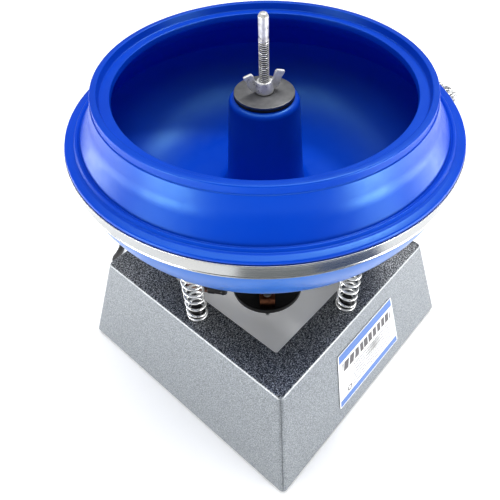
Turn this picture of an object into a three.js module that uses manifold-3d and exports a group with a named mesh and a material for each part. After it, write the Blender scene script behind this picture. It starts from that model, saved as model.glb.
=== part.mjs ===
// A bench-top vibratory tumbler: an annular plastic bowl bolted over a round pan, which hangs a small
// motor with an off-balance flywheel and floats on four coil springs above a sheet-steel base.
// Millimetres, +Z up. The origin is on the table, under the motor shaft; the label faces -Y.
import * as THREE from "three";
import { mergeVertices } from "three/addons/utils/BufferGeometryUtils.js";
import Module from "manifold-3d";

const wasm = await Module();
wasm.setup();

// ---- Driving dimensions -------------------------------------------------------------------------
const GAP = 0.3; // between pieces that touch
const RUNNING_CLEARANCE = 0.15; // a shaft in its bush

// Base: a square frustum folded from sheet, open below, with a deck flange round a square opening.
const BASE_SIDE_BOTTOM = 234.6;
const BASE_SIDE_TOP = 188.4;
const BASE_HEIGHT = 93.6;
const BASE_SHEET = 1.6;
const BASE_CORNER_RADIUS = 4;
const DECK_OPENING_SIDE = 136.4;
const BASE_RETURN_WIDTH = 13; // the inward lip at the bottom edge
const FOOT_HEIGHT = 2.5;
const FOOT_RADIUS = 7;
const FOOT_STEM_RADIUS = 3;
const FOOT_EDGE_INSET = 1.5; // from the base's bottom edge
const DECK_OPENING_CORNER = 2;
const BASE_MOUTH_CORNER = 1;

// Springs and the studs that locate them.
const SPRING_OUTER_RADIUS = 8;
const SPRING_WIRE = 1.9;
const SPRING_LENGTH = 64.3;
const SPRING_TURNS = 9;
const SPRING_STEPS_PER_TURN = 8;
const SPRING_END_PITCH = 1.12; // of the closed end turns, in wire diameters
const PLUG_CLEARANCE = 0.6;
const PLUG_HEIGHT = 9;
const PLUG_TAPER_LENGTH = 3;
const PLUG_TAPER = 1.6;
const STUD_BEYOND_NUT = 1;
const STUD_SHANK_RADIUS = 2.5;
const HOLE_CLEARANCE = 0.4;
const NUT_FLATS = 8;
const NUT_HEIGHT = 4;

// Motor plate, pan and band.
const PLATE_RADIUS = 90;
const PLATE_THICKNESS = 2.5;
const PAN_FLAT_RADIUS = 59.6;
const PAN_BEND_RADIUS = 68;
const PAN_BEND_END = THREE.MathUtils.degToRad(80);
const PAN_WALL = 1.5;
const PAN_HEIGHT = 67.2;
const BAND_HEIGHT = 9.8;
const BAND_THICKNESS = 0.7;
const BAND_GAP = 4; // between the band's ends, under the lugs
const BAND_LUG_REACH = 11;
const BAND_LUG_THICKNESS = 1.6;
const BAND_LUG_ANGLE = THREE.MathUtils.degToRad(-35);
const BAND_SCREW_RADIUS = 2;
const BAND_SCREW_FROM_LUG_END = 4;
const BAND_SCREW_LENGTH = 20;
const BAND_SCREW_HEAD_RADIUS = 3.7;
const BAND_SCREW_HEAD_HEIGHT = 2.6;
const BAND_NUT_FLATS = 7;
const BAND_NUT_HEIGHT = 3.2;
const BAND_ROLLED_EDGE = 0.35; // how far its edges stand proud
const BAND_LUG_MARGIN = 1; // above and below each lug

// Bowl.
const RIM_RADIUS = 105;
const RIM_TOP_ABOVE_FLANGE = 31.7; // from the flange's seat to the rim
const RIM_WIDTH = 4.2;
const LEDGE_WIDTH = 6.7;
const LEDGE_DROP = 4.8;
const LIP_HEIGHT = 5.2;
const BOWL_WALL = 5;
const FLANGE_OVERHANG = 0.83; // beyond the pan's wall
const FLARE_SET_BACK = 9.9; // from the flange's edge to the foot of the flared wall
const FLANGE_THICKNESS = 3.6;
const BEAD_RADIUS = 1.3;
const BOWL_IN_PAN_CLEARANCE = 1;
const BOWL_FLOOR_ABOVE_PAN = 6.5;
const BOWL_BEND_BELOW_FLANGE = 8;
const FLARE_MIDDLE = 0.36; // share of the flare's reach that it has at half its height
const POST_TOP_RADIUS = 22.6;
const POST_FOOT_RADIUS = 27.5;
const POST_WALL = 4;
const POST_SHOULDER = 3;
const POST_TOP_BELOW_RIM = 16;

// Centre stud, washers and wing nut.
const CENTRE_STUD_RADIUS = 3.175;
const CENTRE_STUD_ABOVE_RIM = 37;
const CENTRE_HEAD_FLATS = 11;
const CENTRE_HEAD_HEIGHT = 4.5;
const LOCK_NUT_HEIGHT = 5.5;
const WASHER_RADIUS = 19.4;
const WASHER_THICKNESS = 1.4;
const GASKET_RADIUS = 19.4;
const GASKET_THICKNESS = 1.5;
const WING_BOSS_RADIUS = 6;
const WING_BOSS_HEIGHT = 7.5;
const WING_SPAN = 27;
const WING_RISE = 13;
const WING_THICKNESS = 2.2;
const WING_ANGLE = THREE.MathUtils.degToRad(-30);

// Motor.
const MOTOR_RADIUS = 40;
const MOTOR_HANG = 8; // the bosses that hold the motor off the plate
const BELL_DEPTH = 13;
const BELL_WALL = 2;
const LOWER_BELL_DEPTH = 15;
const LOWER_BELL_FLAT_RADIUS = 22;
const STACK_HEIGHT = 24;
const STACK_INSET = 4; // its flats inside the bells' rims
const STACK_CORNER_RADIUS = 12;
const STACK_SLOTS = 8;
const STACK_SLOT_DEPTH = 8;
const STACK_SLOT_WIDTH = 4;
const ROTOR_RADIUS = 21;
const ROTOR_AIR_GAP = 0.5;
const WINDING_RADIUS = 27;
const WINDING_SECTION_RADIUS = 4.4;
const MOTOR_BOLT_CIRCLE_RADIUS = 34.5;
const MOTOR_BOLT_RADIUS = 2;
const MOTOR_BOLT_HEAD_HEIGHT = 2.6;
const MOTOR_BOLT_HEAD_RADIUS = 3.8;
const MOTOR_BOSS_RADIUS = 4.5;
const SHAFT_RADIUS = 4;
const BUSH_RADIUS = 7.5;
const BUSH_LENGTH = 7;
const SHAFT_BELOW_MOTOR = 51;

// Flywheel and its off-balance weight, which has stopped towards WEIGHT_ANGLE.
const FLYWHEEL_DISC = 2.4;
const FLYWHEEL_RIM_HEIGHT = 3;
const FLYWHEEL_RIM_WIDTH = 2.6;
const FLYWHEEL_HUB_RADIUS = 8;
const FLYWHEEL_HUB_HEIGHT = 12;
const FLYWHEEL_ABOVE_SHAFT_END = 4;
const WEIGHT_WIDTH = 13.5;
const WEIGHT_DEPTH = 10;
const WEIGHT_HEIGHT = 13;
const WEIGHT_CENTRE_RADIUS = 22.5;
const WEIGHT_RIM_CLEARANCE = 0.58; // from its outer corners to the flywheel's rim
const WEIGHT_ANGLE = THREE.MathUtils.degToRad(-138.5);
const WEIGHT_SCREW_RADIUS = 2;
const WEIGHT_SCREW_HEAD_RADIUS = 3.6;
const WEIGHT_SCREW_HEAD_HEIGHT = 2;
const WEIGHT_NUT_HEIGHT = 6.5;
const WEIGHT_SCREW_TAIL = 13; // below the flywheel

// Label plate on the front face.
const LABEL_TOP_WIDTH = 74.7;
const LABEL_BOTTOM_WIDTH = 88.5;
const LABEL_HEIGHT = 60;
const LABEL_BELOW_DECK = 18.4; // along the slope
const LABEL_OFFSET = 4.6;
const LABEL_THICKNESS = 0.5;

// Mains lead. Its route is a list of points chosen by hand; the rest is wound in one coil.
const CORD_RADIUS = 3.2;
const CORD_SIDES = 8;
const RELIEF_LENGTH = 24;
const RELIEF_X = -60;
const RELIEF_Z = 10;
const RELIEF_FLANGE_RADIUS = 8;
const RELIEF_NECK_RADIUS = 6;
const COIL_CENTRE = new THREE.Vector2(172, 152);
const COIL_MEAN_RADIUS = 36;
const COIL_LANE = 6.5;
const COIL_LANES = 3;
const COIL_LAYERS = 2;
const TIE_THICKNESS = 1;
const TIE_WIDTH = 9;
const TIE_ANGLE = THREE.MathUtils.degToRad(200);
const LIE_CLEARANCE = 0.1; // between the table and what lies on it
const PLUG_BODY_LENGTH = 28;
const PLUG_TAIL_LENGTH = 16;
const PLUG_WIDTH = 22;
const PLUG_THICKNESS = 13.4;
const BLADE_LENGTH = 16;
const BLADE_WIDTH = 6.4;
const BLADE_THICKNESS = 1.5;
const BLADE_SPACING = 12.7;

// Lead inside the base.
const WIRE_RADIUS = 1.5;
const CONNECTOR_RADIUS = 3.4;
const CONNECTOR_LENGTH = 15;
const CONNECTOR_TO_SPRING = 9.7; // from its axis at the mouth
const CONNECTOR_BELOW_STACK = 9.4;

const ROUND = 36; // sides of the large turned pieces
const MOTOR_ROUND = 24; // sides of the motor's turned pieces
const SMALL_ROUND = 12; // sides of the small ones

// ---- Heights that follow from them --------------------------------------------------------------
const deckZ = FOOT_HEIGHT + BASE_HEIGHT;
const springBottomZ = deckZ + GAP;
const plateBottomZ = springBottomZ + SPRING_LENGTH + GAP;
const plateTopZ = plateBottomZ + PLATE_THICKNESS;
const panBottomZ = plateTopZ + GAP;
const panFloorZ = panBottomZ + PAN_WALL;
const panTopZ = panBottomZ + PAN_HEIGHT;
const panOuterRadius = PAN_FLAT_RADIUS + PAN_BEND_RADIUS * Math.sin(PAN_BEND_END);
const flangeRadius = panOuterRadius + FLANGE_OVERHANG;
const bowlFlareRadius = flangeRadius - FLARE_SET_BACK;
const panBendZ = panBottomZ + PAN_BEND_RADIUS;
const flangeSeatZ = panTopZ + GAP;
const rimZ = flangeSeatZ + RIM_TOP_ABOVE_FLANGE;
const postTopZ = rimZ - POST_TOP_BELOW_RIM;
const gasketZ = postTopZ + GAP;
const washerZ = gasketZ + GASKET_THICKNESS + GAP;
const wingNutZ = washerZ + WASHER_THICKNESS + GAP;
const motorTopZ = plateBottomZ - GAP - MOTOR_HANG;
const stackTopZ = motorTopZ - BELL_DEPTH - GAP;
const stackBottomZ = stackTopZ - STACK_HEIGHT;
const lowerBellTopZ = stackBottomZ - GAP;
const motorBottomZ = lowerBellTopZ - LOWER_BELL_DEPTH;
const shaftEndZ = motorBottomZ - SHAFT_BELOW_MOTOR;
const flywheelZ = shaftEndZ + FLYWHEEL_ABOVE_SHAFT_END;
const flywheelInner =
  Math.hypot(WEIGHT_CENTRE_RADIUS + WEIGHT_DEPTH / 2, WEIGHT_WIDTH / 2) + WEIGHT_RIM_CLEARANCE;
const flywheelRadius = flywheelInner + FLYWHEEL_RIM_WIDTH;
const wallSlope = Math.atan2((BASE_SIDE_BOTTOM - BASE_SIDE_TOP) / 2, BASE_HEIGHT);
const springCircle = (BASE_SIDE_TOP + DECK_OPENING_SIDE) / 4; // the middle of the deck flange

// ---- Materials ----------------------------------------------------------------------------------
function finish(color, roughness, metalness) {
  return () => new THREE.MeshStandardMaterial({ color, roughness, metalness });
}
const BLUE_PLASTIC = finish(0x0b44c8, 0.4, 0);
const BLUE_ENAMEL = finish(0x3f74cf, 0.35, 0.1);
const HAMMERTONE = finish(0x9aa0a3, 0.5, 0.4);
const STAINLESS = finish(0xc4c6c4, 0.28, 1);
const SPRING_STEEL = finish(0xd0d2d2, 0.25, 1);
const ZINC = finish(0xb9bcbd, 0.35, 1);
const PLATE_STEEL = finish(0x8d9092, 0.45, 0.9);
const BLACK_RUBBER = finish(0x141414, 0.85, 0);
const BLACK_PLASTIC = finish(0x18181a, 0.5, 0);
const LAMINATION = finish(0x5d5f62, 0.5, 0.8);
const COPPER = finish(0xa9633a, 0.4, 0.9);
const BRONZE = finish(0x9a7140, 0.45, 0.9);
const DARK_STEEL = finish(0x2a2a2c, 0.5, 0.8);
const LABEL_FOIL = finish(0xe8eaec, 0.4, 0.1);
const BROWN_WIRE = finish(0x4a2c1e, 0.6, 0);

// ---- Solid geometry -----------------------------------------------------------------------------
function solidOf(geometry) {
  const bare = geometry.clone();
  bare.deleteAttribute("normal");
  bare.deleteAttribute("uv");
  const merged = mergeVertices(bare, 1e-4);
  const triVerts = new Uint32Array(merged.index.array);
  return new wasm.Manifold(
    new wasm.Mesh({ numProp: 3, vertProperties: merged.attributes.position.array, triVerts }),
  );
}

function geometryOf(solid) {
  const { vertProperties, triVerts } = solid.getMesh();
  const geometry = new THREE.BufferGeometry();
  geometry.setAttribute("position", new THREE.BufferAttribute(vertProperties, 3));
  geometry.setIndex(new THREE.BufferAttribute(triVerts, 1));
  const flat = geometry.toNonIndexed();
  flat.computeVertexNormals();
  return flat;
}

function cut(body, ...tools) {
  return geometryOf(tools.reduce((rest, tool) => rest.subtract(solidOf(tool)), solidOf(body)));
}

function join(body, ...others) {
  return geometryOf(others.reduce((sum, other) => sum.add(solidOf(other)), solidOf(body)));
}

// A profile of [radius, height] pairs turned about Z. A profile that leaves the axis closes on itself.
function turned(profile, sides = SMALL_ROUND) {
  const points = profile.map(([r, z]) => new THREE.Vector2(r, z));
  if (profile[0][0] > 0) points.push(points[0].clone());
  return new THREE.LatheGeometry(points, sides).rotateX(Math.PI / 2);
}

function cylinder(radius, z0, z1, sides = SMALL_ROUND) {
  return turned([[0, z0], [radius, z0], [radius, z1], [0, z1]], sides);
}

function pipe(outer, inner, z0, z1, sides = SMALL_ROUND) {
  return turned([[outer, z0], [outer, z1], [inner, z1], [inner, z0]], sides);
}

// Points [radius, height] on an elliptical bend from angle a0 to a1, measured from straight down.
function bend(radius, height, reach, drop, a0, a1, steps) {
  return Array.from({ length: steps + 1 }, (_, i) => {
    const a = a0 + ((a1 - a0) * i) / steps;
    return [radius + reach * Math.sin(a), height - drop * Math.cos(a)];
  });
}

function roundedSquare(side, radius) {
  const h = side / 2;
  const shape = new THREE.Shape();
  const corners = [[h, -h], [h, h], [-h, h], [-h, -h]];
  corners.forEach(([x, y], i) => {
    const cx = x - Math.sign(x) * radius;
    const cy = y - Math.sign(y) * radius;
    const start = (i - 1) * (Math.PI / 2);
    shape.absarc(cx, cy, radius, start, start + Math.PI / 2, false);
  });
  return shape;
}

// A solid between two rounded squares of the same corner count.
function frustum(sideBottom, sideTop, z0, z1, radius) {
  const low = roundedSquare(sideBottom, radius).getPoints(3);
  const high = roundedSquare(sideTop, radius).getPoints(3);
  low.pop();
  high.pop();
  const count = low.length;
  const ring = [...low.map((p) => [p.x, p.y, z0]), ...high.map((p) => [p.x, p.y, z1])];
  const faces = [];
  for (let i = 0; i < count; i++) {
    const j = (i + 1) % count;
    faces.push(i, j, count + j, i, count + j, count + i);
    if (i > 0 && j > 0) faces.push(0, j, i, count, count + i, count + j);
  }
  const geometry = new THREE.BufferGeometry();
  geometry.setAttribute("position", new THREE.Float32BufferAttribute(ring.flat(), 3));
  geometry.setIndex(faces);
  return geometry;
}

function extruded(shape, depth) {
  return new THREE.ExtrudeGeometry(shape, { depth, bevelEnabled: false, curveSegments: 6 });
}

function polygon(points) {
  return new THREE.Shape(points.map(([x, y]) => new THREE.Vector2(x, y)));
}

function regular(radius, sides) {
  return polygon(Array.from({ length: sides }, (_, i) => {
    const a = (2 * Math.PI * i) / sides;
    return [radius * Math.cos(a), radius * Math.sin(a)];
  }));
}

const hexagon = (flats) => regular(flats / Math.sqrt(3), 6);

function hexNut(flats, height, bore) {
  return cut(extruded(hexagon(flats), height), cylinder(bore, -1, height + 1, 12));
}

function tube(points, radius, steps, sides = CORD_SIDES) {
  const spots = points.map((p) => new THREE.Vector3(...p));
  const path = new THREE.CatmullRomCurve3(spots, false, "centripetal");
  const settings = { steps, bevelEnabled: false, extrudePath: path };
  return new THREE.ExtrudeGeometry(regular(radius, sides), settings);
}

// ---- Scene graph --------------------------------------------------------------------------------
const tumbler = new THREE.Group();

function place(parent, name, geometry, material, position = [0, 0, 0], rotation = [0, 0, 0]) {
  const mesh = new THREE.Mesh(geometry, material());
  mesh.name = name;
  mesh.position.set(...position);
  mesh.rotation.set(...rotation);
  parent.add(mesh);
  return mesh;
}

function group(parent, position = [0, 0, 0], rotation = [0, 0, 0]) {
  const made = new THREE.Group();
  made.position.set(...position);
  made.rotation.set(...rotation);
  parent.add(made);
  return made;
}

const SIDES = { right: 0, back: 90, left: 180, front: 270 };
const CORNERS = { back_right: 45, back_left: 135, front_left: 225, front_right: 315 };
const turn = (degrees) => THREE.MathUtils.degToRad(degrees);

// The half width of the base's outside at a height above the table.
const wallAt = (z) => BASE_SIDE_BOTTOM / 2 - Math.tan(wallSlope) * (z - FOOT_HEIGHT);

// ---- Base ---------------------------------------------------------------------------------------
function baseShell() {
  const inset = (2 * BASE_SHEET) / Math.cos(wallSlope);
  const outer = frustum(BASE_SIDE_BOTTOM, BASE_SIDE_TOP, FOOT_HEIGHT, deckZ, BASE_CORNER_RADIUS);
  const innerTop = deckZ - BASE_SHEET;
  const innerBottom = FOOT_HEIGHT + BASE_SHEET;
  const inner = frustum(
    2 * wallAt(innerBottom) - inset, 2 * wallAt(innerTop) - inset,
    innerBottom, innerTop, BASE_CORNER_RADIUS - BASE_SHEET,
  );
  const mouthSide = BASE_SIDE_BOTTOM - 2 * BASE_RETURN_WIDTH;
  const mouth = frustum(mouthSide, mouthSide, FOOT_HEIGHT - 1, innerBottom + 1, BASE_MOUTH_CORNER);
  const opening = frustum(
    DECK_OPENING_SIDE, DECK_OPENING_SIDE, innerTop - 1, deckZ + 1, DECK_OPENING_CORNER,
  );
  const stem = FOOT_STEM_RADIUS + HOLE_CLEARANCE;
  const footHoles = Object.values(CORNERS).map((a) =>
    cylinder(stem, 0, FOOT_HEIGHT + 2 * BASE_SHEET, 12).translate(...footPlace(a), 0));
  const studHoles = Object.values(SIDES).map((a) =>
    cylinder(STUD_SHANK_RADIUS + HOLE_CLEARANCE, innerTop - 1, deckZ + 1, 12)
      .translate(springCircle * Math.cos(turn(a)), springCircle * Math.sin(turn(a)), 0));
  const leadHole = cylinder(RELIEF_NECK_RADIUS + GAP, -8, 8)
    .rotateX(-Math.PI / 2 + wallSlope).translate(RELIEF_X, wallAt(RELIEF_Z), RELIEF_Z);
  return cut(outer, inner, mouth, opening, leadHole, ...footHoles, ...studHoles);
}

// The feet push into the four corners of the bottom lip.
function footPlace(degrees) {
  const reach = BASE_SIDE_BOTTOM / 2 - FOOT_RADIUS - FOOT_EDGE_INSET;
  return [Math.sign(Math.cos(turn(degrees))) * reach, Math.sign(Math.sin(turn(degrees))) * reach];
}

function foot() {
  const top = FOOT_HEIGHT - GAP;
  const clip = FOOT_HEIGHT + BASE_SHEET + GAP;
  return turned([
    [0, 0], [FOOT_RADIUS - 0.6, 0], [FOOT_RADIUS, 0.8], [FOOT_RADIUS, top], [FOOT_STEM_RADIUS, top],
    [FOOT_STEM_RADIUS, clip], [FOOT_STEM_RADIUS + 1, clip + 0.6], [FOOT_STEM_RADIUS - 1, clip + 2.6],
    [0, clip + 2.6],
  ]);
}

function labelPlate() {
  const top = LABEL_TOP_WIDTH / 2;
  const bottom = LABEL_BOTTOM_WIDTH / 2;
  const outline = [[-top, 0], [-bottom, -LABEL_HEIGHT], [bottom, -LABEL_HEIGHT], [top, 0]];
  return extruded(polygon(outline), LABEL_THICKNESS);
}

// A shouldered stud that centres one end of a spring; its shank points down from z = 0.
function springStud(sheet, shankBeyond) {
  const plug = SPRING_OUTER_RADIUS - SPRING_WIRE - PLUG_CLEARANCE;
  const shankEnd = -(sheet + 2 * GAP + shankBeyond);
  return turned([
    [0, shankEnd], [STUD_SHANK_RADIUS - 0.5, shankEnd], [STUD_SHANK_RADIUS, shankEnd + 0.5],
    [STUD_SHANK_RADIUS, 0], [plug, 0], [plug, PLUG_HEIGHT - PLUG_TAPER_LENGTH],
    [plug - PLUG_TAPER, PLUG_HEIGHT], [0, PLUG_HEIGHT],
  ]);
}

class SpringPath extends THREE.Curve {
  getPoint(t) {
    const turns = t * SPRING_TURNS;
    const endPitch = SPRING_WIRE * SPRING_END_PITCH;
    const travel = SPRING_LENGTH - SPRING_WIRE;
    const openPitch = (travel - 2 * endPitch) / (SPRING_TURNS - 2);
    const rise = endPitch * Math.min(turns, 1)
      + openPitch * Math.min(Math.max(turns - 1, 0), SPRING_TURNS - 2)
      + endPitch * Math.max(turns - (SPRING_TURNS - 1), 0);
    const radius = SPRING_OUTER_RADIUS - SPRING_WIRE / 2;
    const a = turns * 2 * Math.PI;
    return new THREE.Vector3(radius * Math.cos(a), radius * Math.sin(a), SPRING_WIRE / 2 + rise);
  }
}

function spring() {
  return new THREE.ExtrudeGeometry(regular(SPRING_WIRE / 2, 4), {
    steps: SPRING_TURNS * SPRING_STEPS_PER_TURN,
    bevelEnabled: false,
    extrudePath: new SpringPath(),
  });
}

function buildBase() {
  const base = group(tumbler);
  place(base, "base_shell", baseShell(), HAMMERTONE);
  for (const [corner, degrees] of Object.entries(CORNERS))
    place(base, `foot_${corner}`, foot(), BLACK_RUBBER, [...footPlace(degrees), 0]);
  const front = group(base, [0, -wallAt(deckZ), deckZ], [Math.PI / 2 - wallSlope, 0, 0]);
  place(front, "label_plate", labelPlate(), LABEL_FOIL, [LABEL_OFFSET, -LABEL_BELOW_DECK, GAP]);
  for (const [side, degrees] of Object.entries(SIDES)) {
    const corner = group(base, [0, 0, 0], [0, 0, turn(degrees)]);
    place(corner, `spring_${side}`, spring(), SPRING_STEEL, [springCircle, 0, springBottomZ]);
    const lower = springStud(BASE_SHEET, NUT_HEIGHT + STUD_BEYOND_NUT);
    place(corner, `lower_stud_${side}`, lower, ZINC, [springCircle, 0, springBottomZ]);
    const nut = hexNut(NUT_FLATS, NUT_HEIGHT, STUD_SHANK_RADIUS + GAP);
    const nutZ = deckZ - BASE_SHEET - GAP - NUT_HEIGHT;
    place(corner, `lower_nut_${side}`, nut, ZINC, [springCircle, 0, nutZ]);
    const upper = springStud(PLATE_THICKNESS, 0);
    const seat = [springCircle, 0, plateBottomZ - GAP];
    place(corner, `upper_stud_${side}`, upper, ZINC, seat, [Math.PI, 0, 0]);
  }
}

// ---- Pan, plate and band ------------------------------------------------------------------------
function pan() {
  const wall = bend(PAN_FLAT_RADIUS, panBendZ, PAN_BEND_RADIUS, PAN_BEND_RADIUS, 0, PAN_BEND_END, 6);
  const inside = PAN_BEND_RADIUS - PAN_WALL;
  const lining = bend(PAN_FLAT_RADIUS, panBendZ, inside, inside, 0, PAN_BEND_END, 6);
  const studHole = CENTRE_STUD_RADIUS + HOLE_CLEARANCE;
  const shell = turned([
    [studHole, panBottomZ], ...wall, [panOuterRadius, panTopZ],
    [panOuterRadius - PAN_WALL, panTopZ], ...lining.reverse(), [studHole, panFloorZ],
  ], ROUND);
  return cut(shell, ...motorBoltHoles(panBottomZ - 1, panFloorZ + 1));
}

function motorBoltHoles(z0, z1) {
  return Object.values(CORNERS).map((a) =>
    cylinder(MOTOR_BOLT_RADIUS + HOLE_CLEARANCE, z0, z1, 12).translate(
      MOTOR_BOLT_CIRCLE_RADIUS * Math.cos(turn(a)), MOTOR_BOLT_CIRCLE_RADIUS * Math.sin(turn(a)), 0));
}

function motorPlate() {
  const disc = pipe(PLATE_RADIUS, CENTRE_STUD_RADIUS + HOLE_CLEARANCE, plateBottomZ, plateTopZ, 40);
  const studHoles = Object.values(SIDES).map((a) =>
    cylinder(STUD_SHANK_RADIUS + HOLE_CLEARANCE, plateBottomZ - 1, plateTopZ + 1, 12)
      .translate(springCircle * Math.cos(turn(a)), springCircle * Math.sin(turn(a)), 0));
  return cut(disc, ...studHoles, ...motorBoltHoles(plateBottomZ - 1, plateTopZ + 1));
}

// The band is split at one place, where a lug on each end takes the clamp screw.
function clampBand() {
  const inner = panOuterRadius + GAP;
  const outer = inner + BAND_THICKNESS;
  const low = panTopZ - BAND_HEIGHT;
  const edge = BAND_ROLLED_EDGE;
  const hoop = turned([
    [inner, low], [outer + edge, low], [outer + edge, low + 0.8], [outer, low + 1.4],
    [outer, panTopZ - 1.4], [outer + edge, panTopZ - 0.8], [outer + edge, panTopZ], [inner, panTopZ],
  ], ROUND);
  const slot = new THREE.BoxGeometry(8, BAND_GAP, BAND_HEIGHT + 2)
    .translate(outer, 0, low + BAND_HEIGHT / 2).rotateZ(BAND_LUG_ANGLE);
  const lugs = [-1, 1].map((side) => {
    const y = side * (BAND_GAP / 2 + BAND_LUG_THICKNESS / 2);
    const tall = BAND_HEIGHT - 2 * BAND_LUG_MARGIN;
    return new THREE.BoxGeometry(BAND_LUG_REACH, BAND_LUG_THICKNESS, tall)
      .translate(inner + 0.2 + BAND_LUG_REACH / 2, y, low + BAND_HEIGHT / 2).rotateZ(BAND_LUG_ANGLE);
  });
  const hole = bandScrewSolid(BAND_SCREW_RADIUS + GAP, BAND_GAP + 2 * BAND_LUG_THICKNESS + 4);
  return cut(join(cut(hoop, slot), ...lugs), hole);
}

const bandScrewRadius = panOuterRadius + GAP + BAND_LUG_REACH - BAND_SCREW_FROM_LUG_END;
const bandScrewZ = panTopZ - BAND_HEIGHT / 2;

// A rod along the clamp screw's line, across both lugs.
function bandScrewSolid(radius, length) {
  return cylinder(radius, -length / 2, length / 2, 12).rotateX(Math.PI / 2)
    .translate(bandScrewRadius, 0, bandScrewZ).rotateZ(BAND_LUG_ANGLE);
}

function buildPan() {
  const deck = group(tumbler);
  place(deck, "pan", pan(), BLUE_ENAMEL);
  place(deck, "motor_plate", motorPlate(), PLATE_STEEL);
  place(deck, "clamp_band", clampBand(), STAINLESS);
  const lugFace = BAND_GAP / 2 + BAND_LUG_THICKNESS + GAP;
  const screw = turned([
    [0, -BAND_SCREW_LENGTH], [BAND_SCREW_RADIUS, -BAND_SCREW_LENGTH], [BAND_SCREW_RADIUS, 0],
    [BAND_SCREW_HEAD_RADIUS, 0], [BAND_SCREW_HEAD_RADIUS, 1.4], [1.6, BAND_SCREW_HEAD_HEIGHT],
    [0, BAND_SCREW_HEAD_HEIGHT],
  ], 12);
  const clamp = group(deck, [0, 0, bandScrewZ], [0, 0, BAND_LUG_ANGLE]);
  const seat = group(clamp, [bandScrewRadius, -lugFace, 0], [Math.PI / 2, 0, 0]);
  place(seat, "band_screw", screw, ZINC);
  const nut = hexNut(BAND_NUT_FLATS, BAND_NUT_HEIGHT, BAND_SCREW_RADIUS + GAP);
  const nutSeat = [bandScrewRadius, lugFace + BAND_NUT_HEIGHT, 0];
  place(clamp, "band_nut", nut, ZINC, nutSeat, [Math.PI / 2, 0, 0]);

  const tip = rimZ + CENTRE_STUD_ABOVE_RIM;
  const rod = turned([
    [0, plateBottomZ - 1], [CENTRE_STUD_RADIUS, plateBottomZ - 1], [CENTRE_STUD_RADIUS, tip - 2.4],
    [CENTRE_STUD_RADIUS - 0.5, tip - 1], [CENTRE_STUD_RADIUS - 1.6, tip - 0.2], [0, tip],
  ]);
  const head = extruded(hexagon(CENTRE_HEAD_FLATS), CENTRE_HEAD_HEIGHT)
    .translate(0, 0, plateBottomZ - GAP - CENTRE_HEAD_HEIGHT);
  place(deck, "centre_stud", join(rod, head), ZINC);
  const lockNut = hexNut(CENTRE_HEAD_FLATS, LOCK_NUT_HEIGHT, CENTRE_STUD_RADIUS + GAP);
  place(deck, "stud_lock_nut", lockNut, ZINC, [0, 0, panFloorZ + GAP]);
}

// ---- Bowl ---------------------------------------------------------------------------------------
function bowl() {
  const skirtRadius = panOuterRadius - PAN_WALL - BOWL_IN_PAN_CLEARANCE;
  const undersideZ = panFloorZ + BOWL_FLOOR_ABOVE_PAN;
  const bendStart = Math.PI / 2;
  const reach = skirtRadius - PAN_FLAT_RADIUS;
  const bendZ = flangeSeatZ - BOWL_BEND_BELOW_FLANGE;
  const drop = bendZ - undersideZ;
  const outside = bend(PAN_FLAT_RADIUS, bendZ, reach, drop, 0, bendStart, 6);
  const inside = bend(PAN_FLAT_RADIUS, bendZ, reach - BOWL_WALL, drop - BOWL_WALL, 0, bendStart, 6);
  const lipZ = rimZ - LIP_HEIGHT;
  const flangeTopZ = flangeSeatZ + FLANGE_THICKNESS;
  const midRadius = RIM_RADIUS + FLARE_MIDDLE * (bowlFlareRadius - RIM_RADIUS);
  const midZ = (flangeTopZ + lipZ) / 2;
  const beadRadius = bowlFlareRadius + 1.1 + BEAD_RADIUS;
  const rimInner = RIM_RADIUS - RIM_WIDTH;
  const mouth = rimInner - LEDGE_WIDTH;
  const ledgeZ = rimZ - LEDGE_DROP;
  const boreRadius = CENTRE_STUD_RADIUS + HOLE_CLEARANCE;
  const hollowTop = postTopZ - POST_WALL;
  return turned([
    // the post's hollow, from below
    [POST_FOOT_RADIUS - POST_WALL, undersideZ], ...outside,
    // flange
    [skirtRadius, flangeSeatZ], [flangeRadius - 0.6, flangeSeatZ], [flangeRadius, flangeSeatZ + 0.8],
    [flangeRadius - 0.7, flangeSeatZ + 2.2], [flangeRadius - 3.2, flangeTopZ - 0.5],
    [beadRadius + BEAD_RADIUS, flangeTopZ - 0.1], [beadRadius, flangeTopZ + 0.7],
    [beadRadius - BEAD_RADIUS, flangeTopZ - 0.1], [bowlFlareRadius, flangeTopZ],
    // flared wall and lip
    [midRadius, midZ], [RIM_RADIUS + 0.8, lipZ], [RIM_RADIUS, lipZ], [RIM_RADIUS, rimZ - 1],
    [RIM_RADIUS - 1, rimZ], [rimInner + 0.8, rimZ], [rimInner, rimZ - 0.8],
    [rimInner - 0.6, ledgeZ], [mouth, ledgeZ],
    // inside
    [mouth - 0.2, ledgeZ - BOWL_WALL + 1], [midRadius - BOWL_WALL, midZ - 3],
    [skirtRadius - BOWL_WALL, bendZ + 0.5], ...inside.reverse(),
    [POST_FOOT_RADIUS + 5, undersideZ + BOWL_WALL], [POST_FOOT_RADIUS, undersideZ + BOWL_WALL + 5],
    [POST_TOP_RADIUS, postTopZ - POST_SHOULDER], [POST_TOP_RADIUS - 0.9, postTopZ - 0.9],
    [POST_TOP_RADIUS - POST_SHOULDER, postTopZ], [boreRadius, postTopZ], [boreRadius, hollowTop],
    [POST_TOP_RADIUS - POST_WALL, hollowTop],
  ], ROUND);
}

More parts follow.
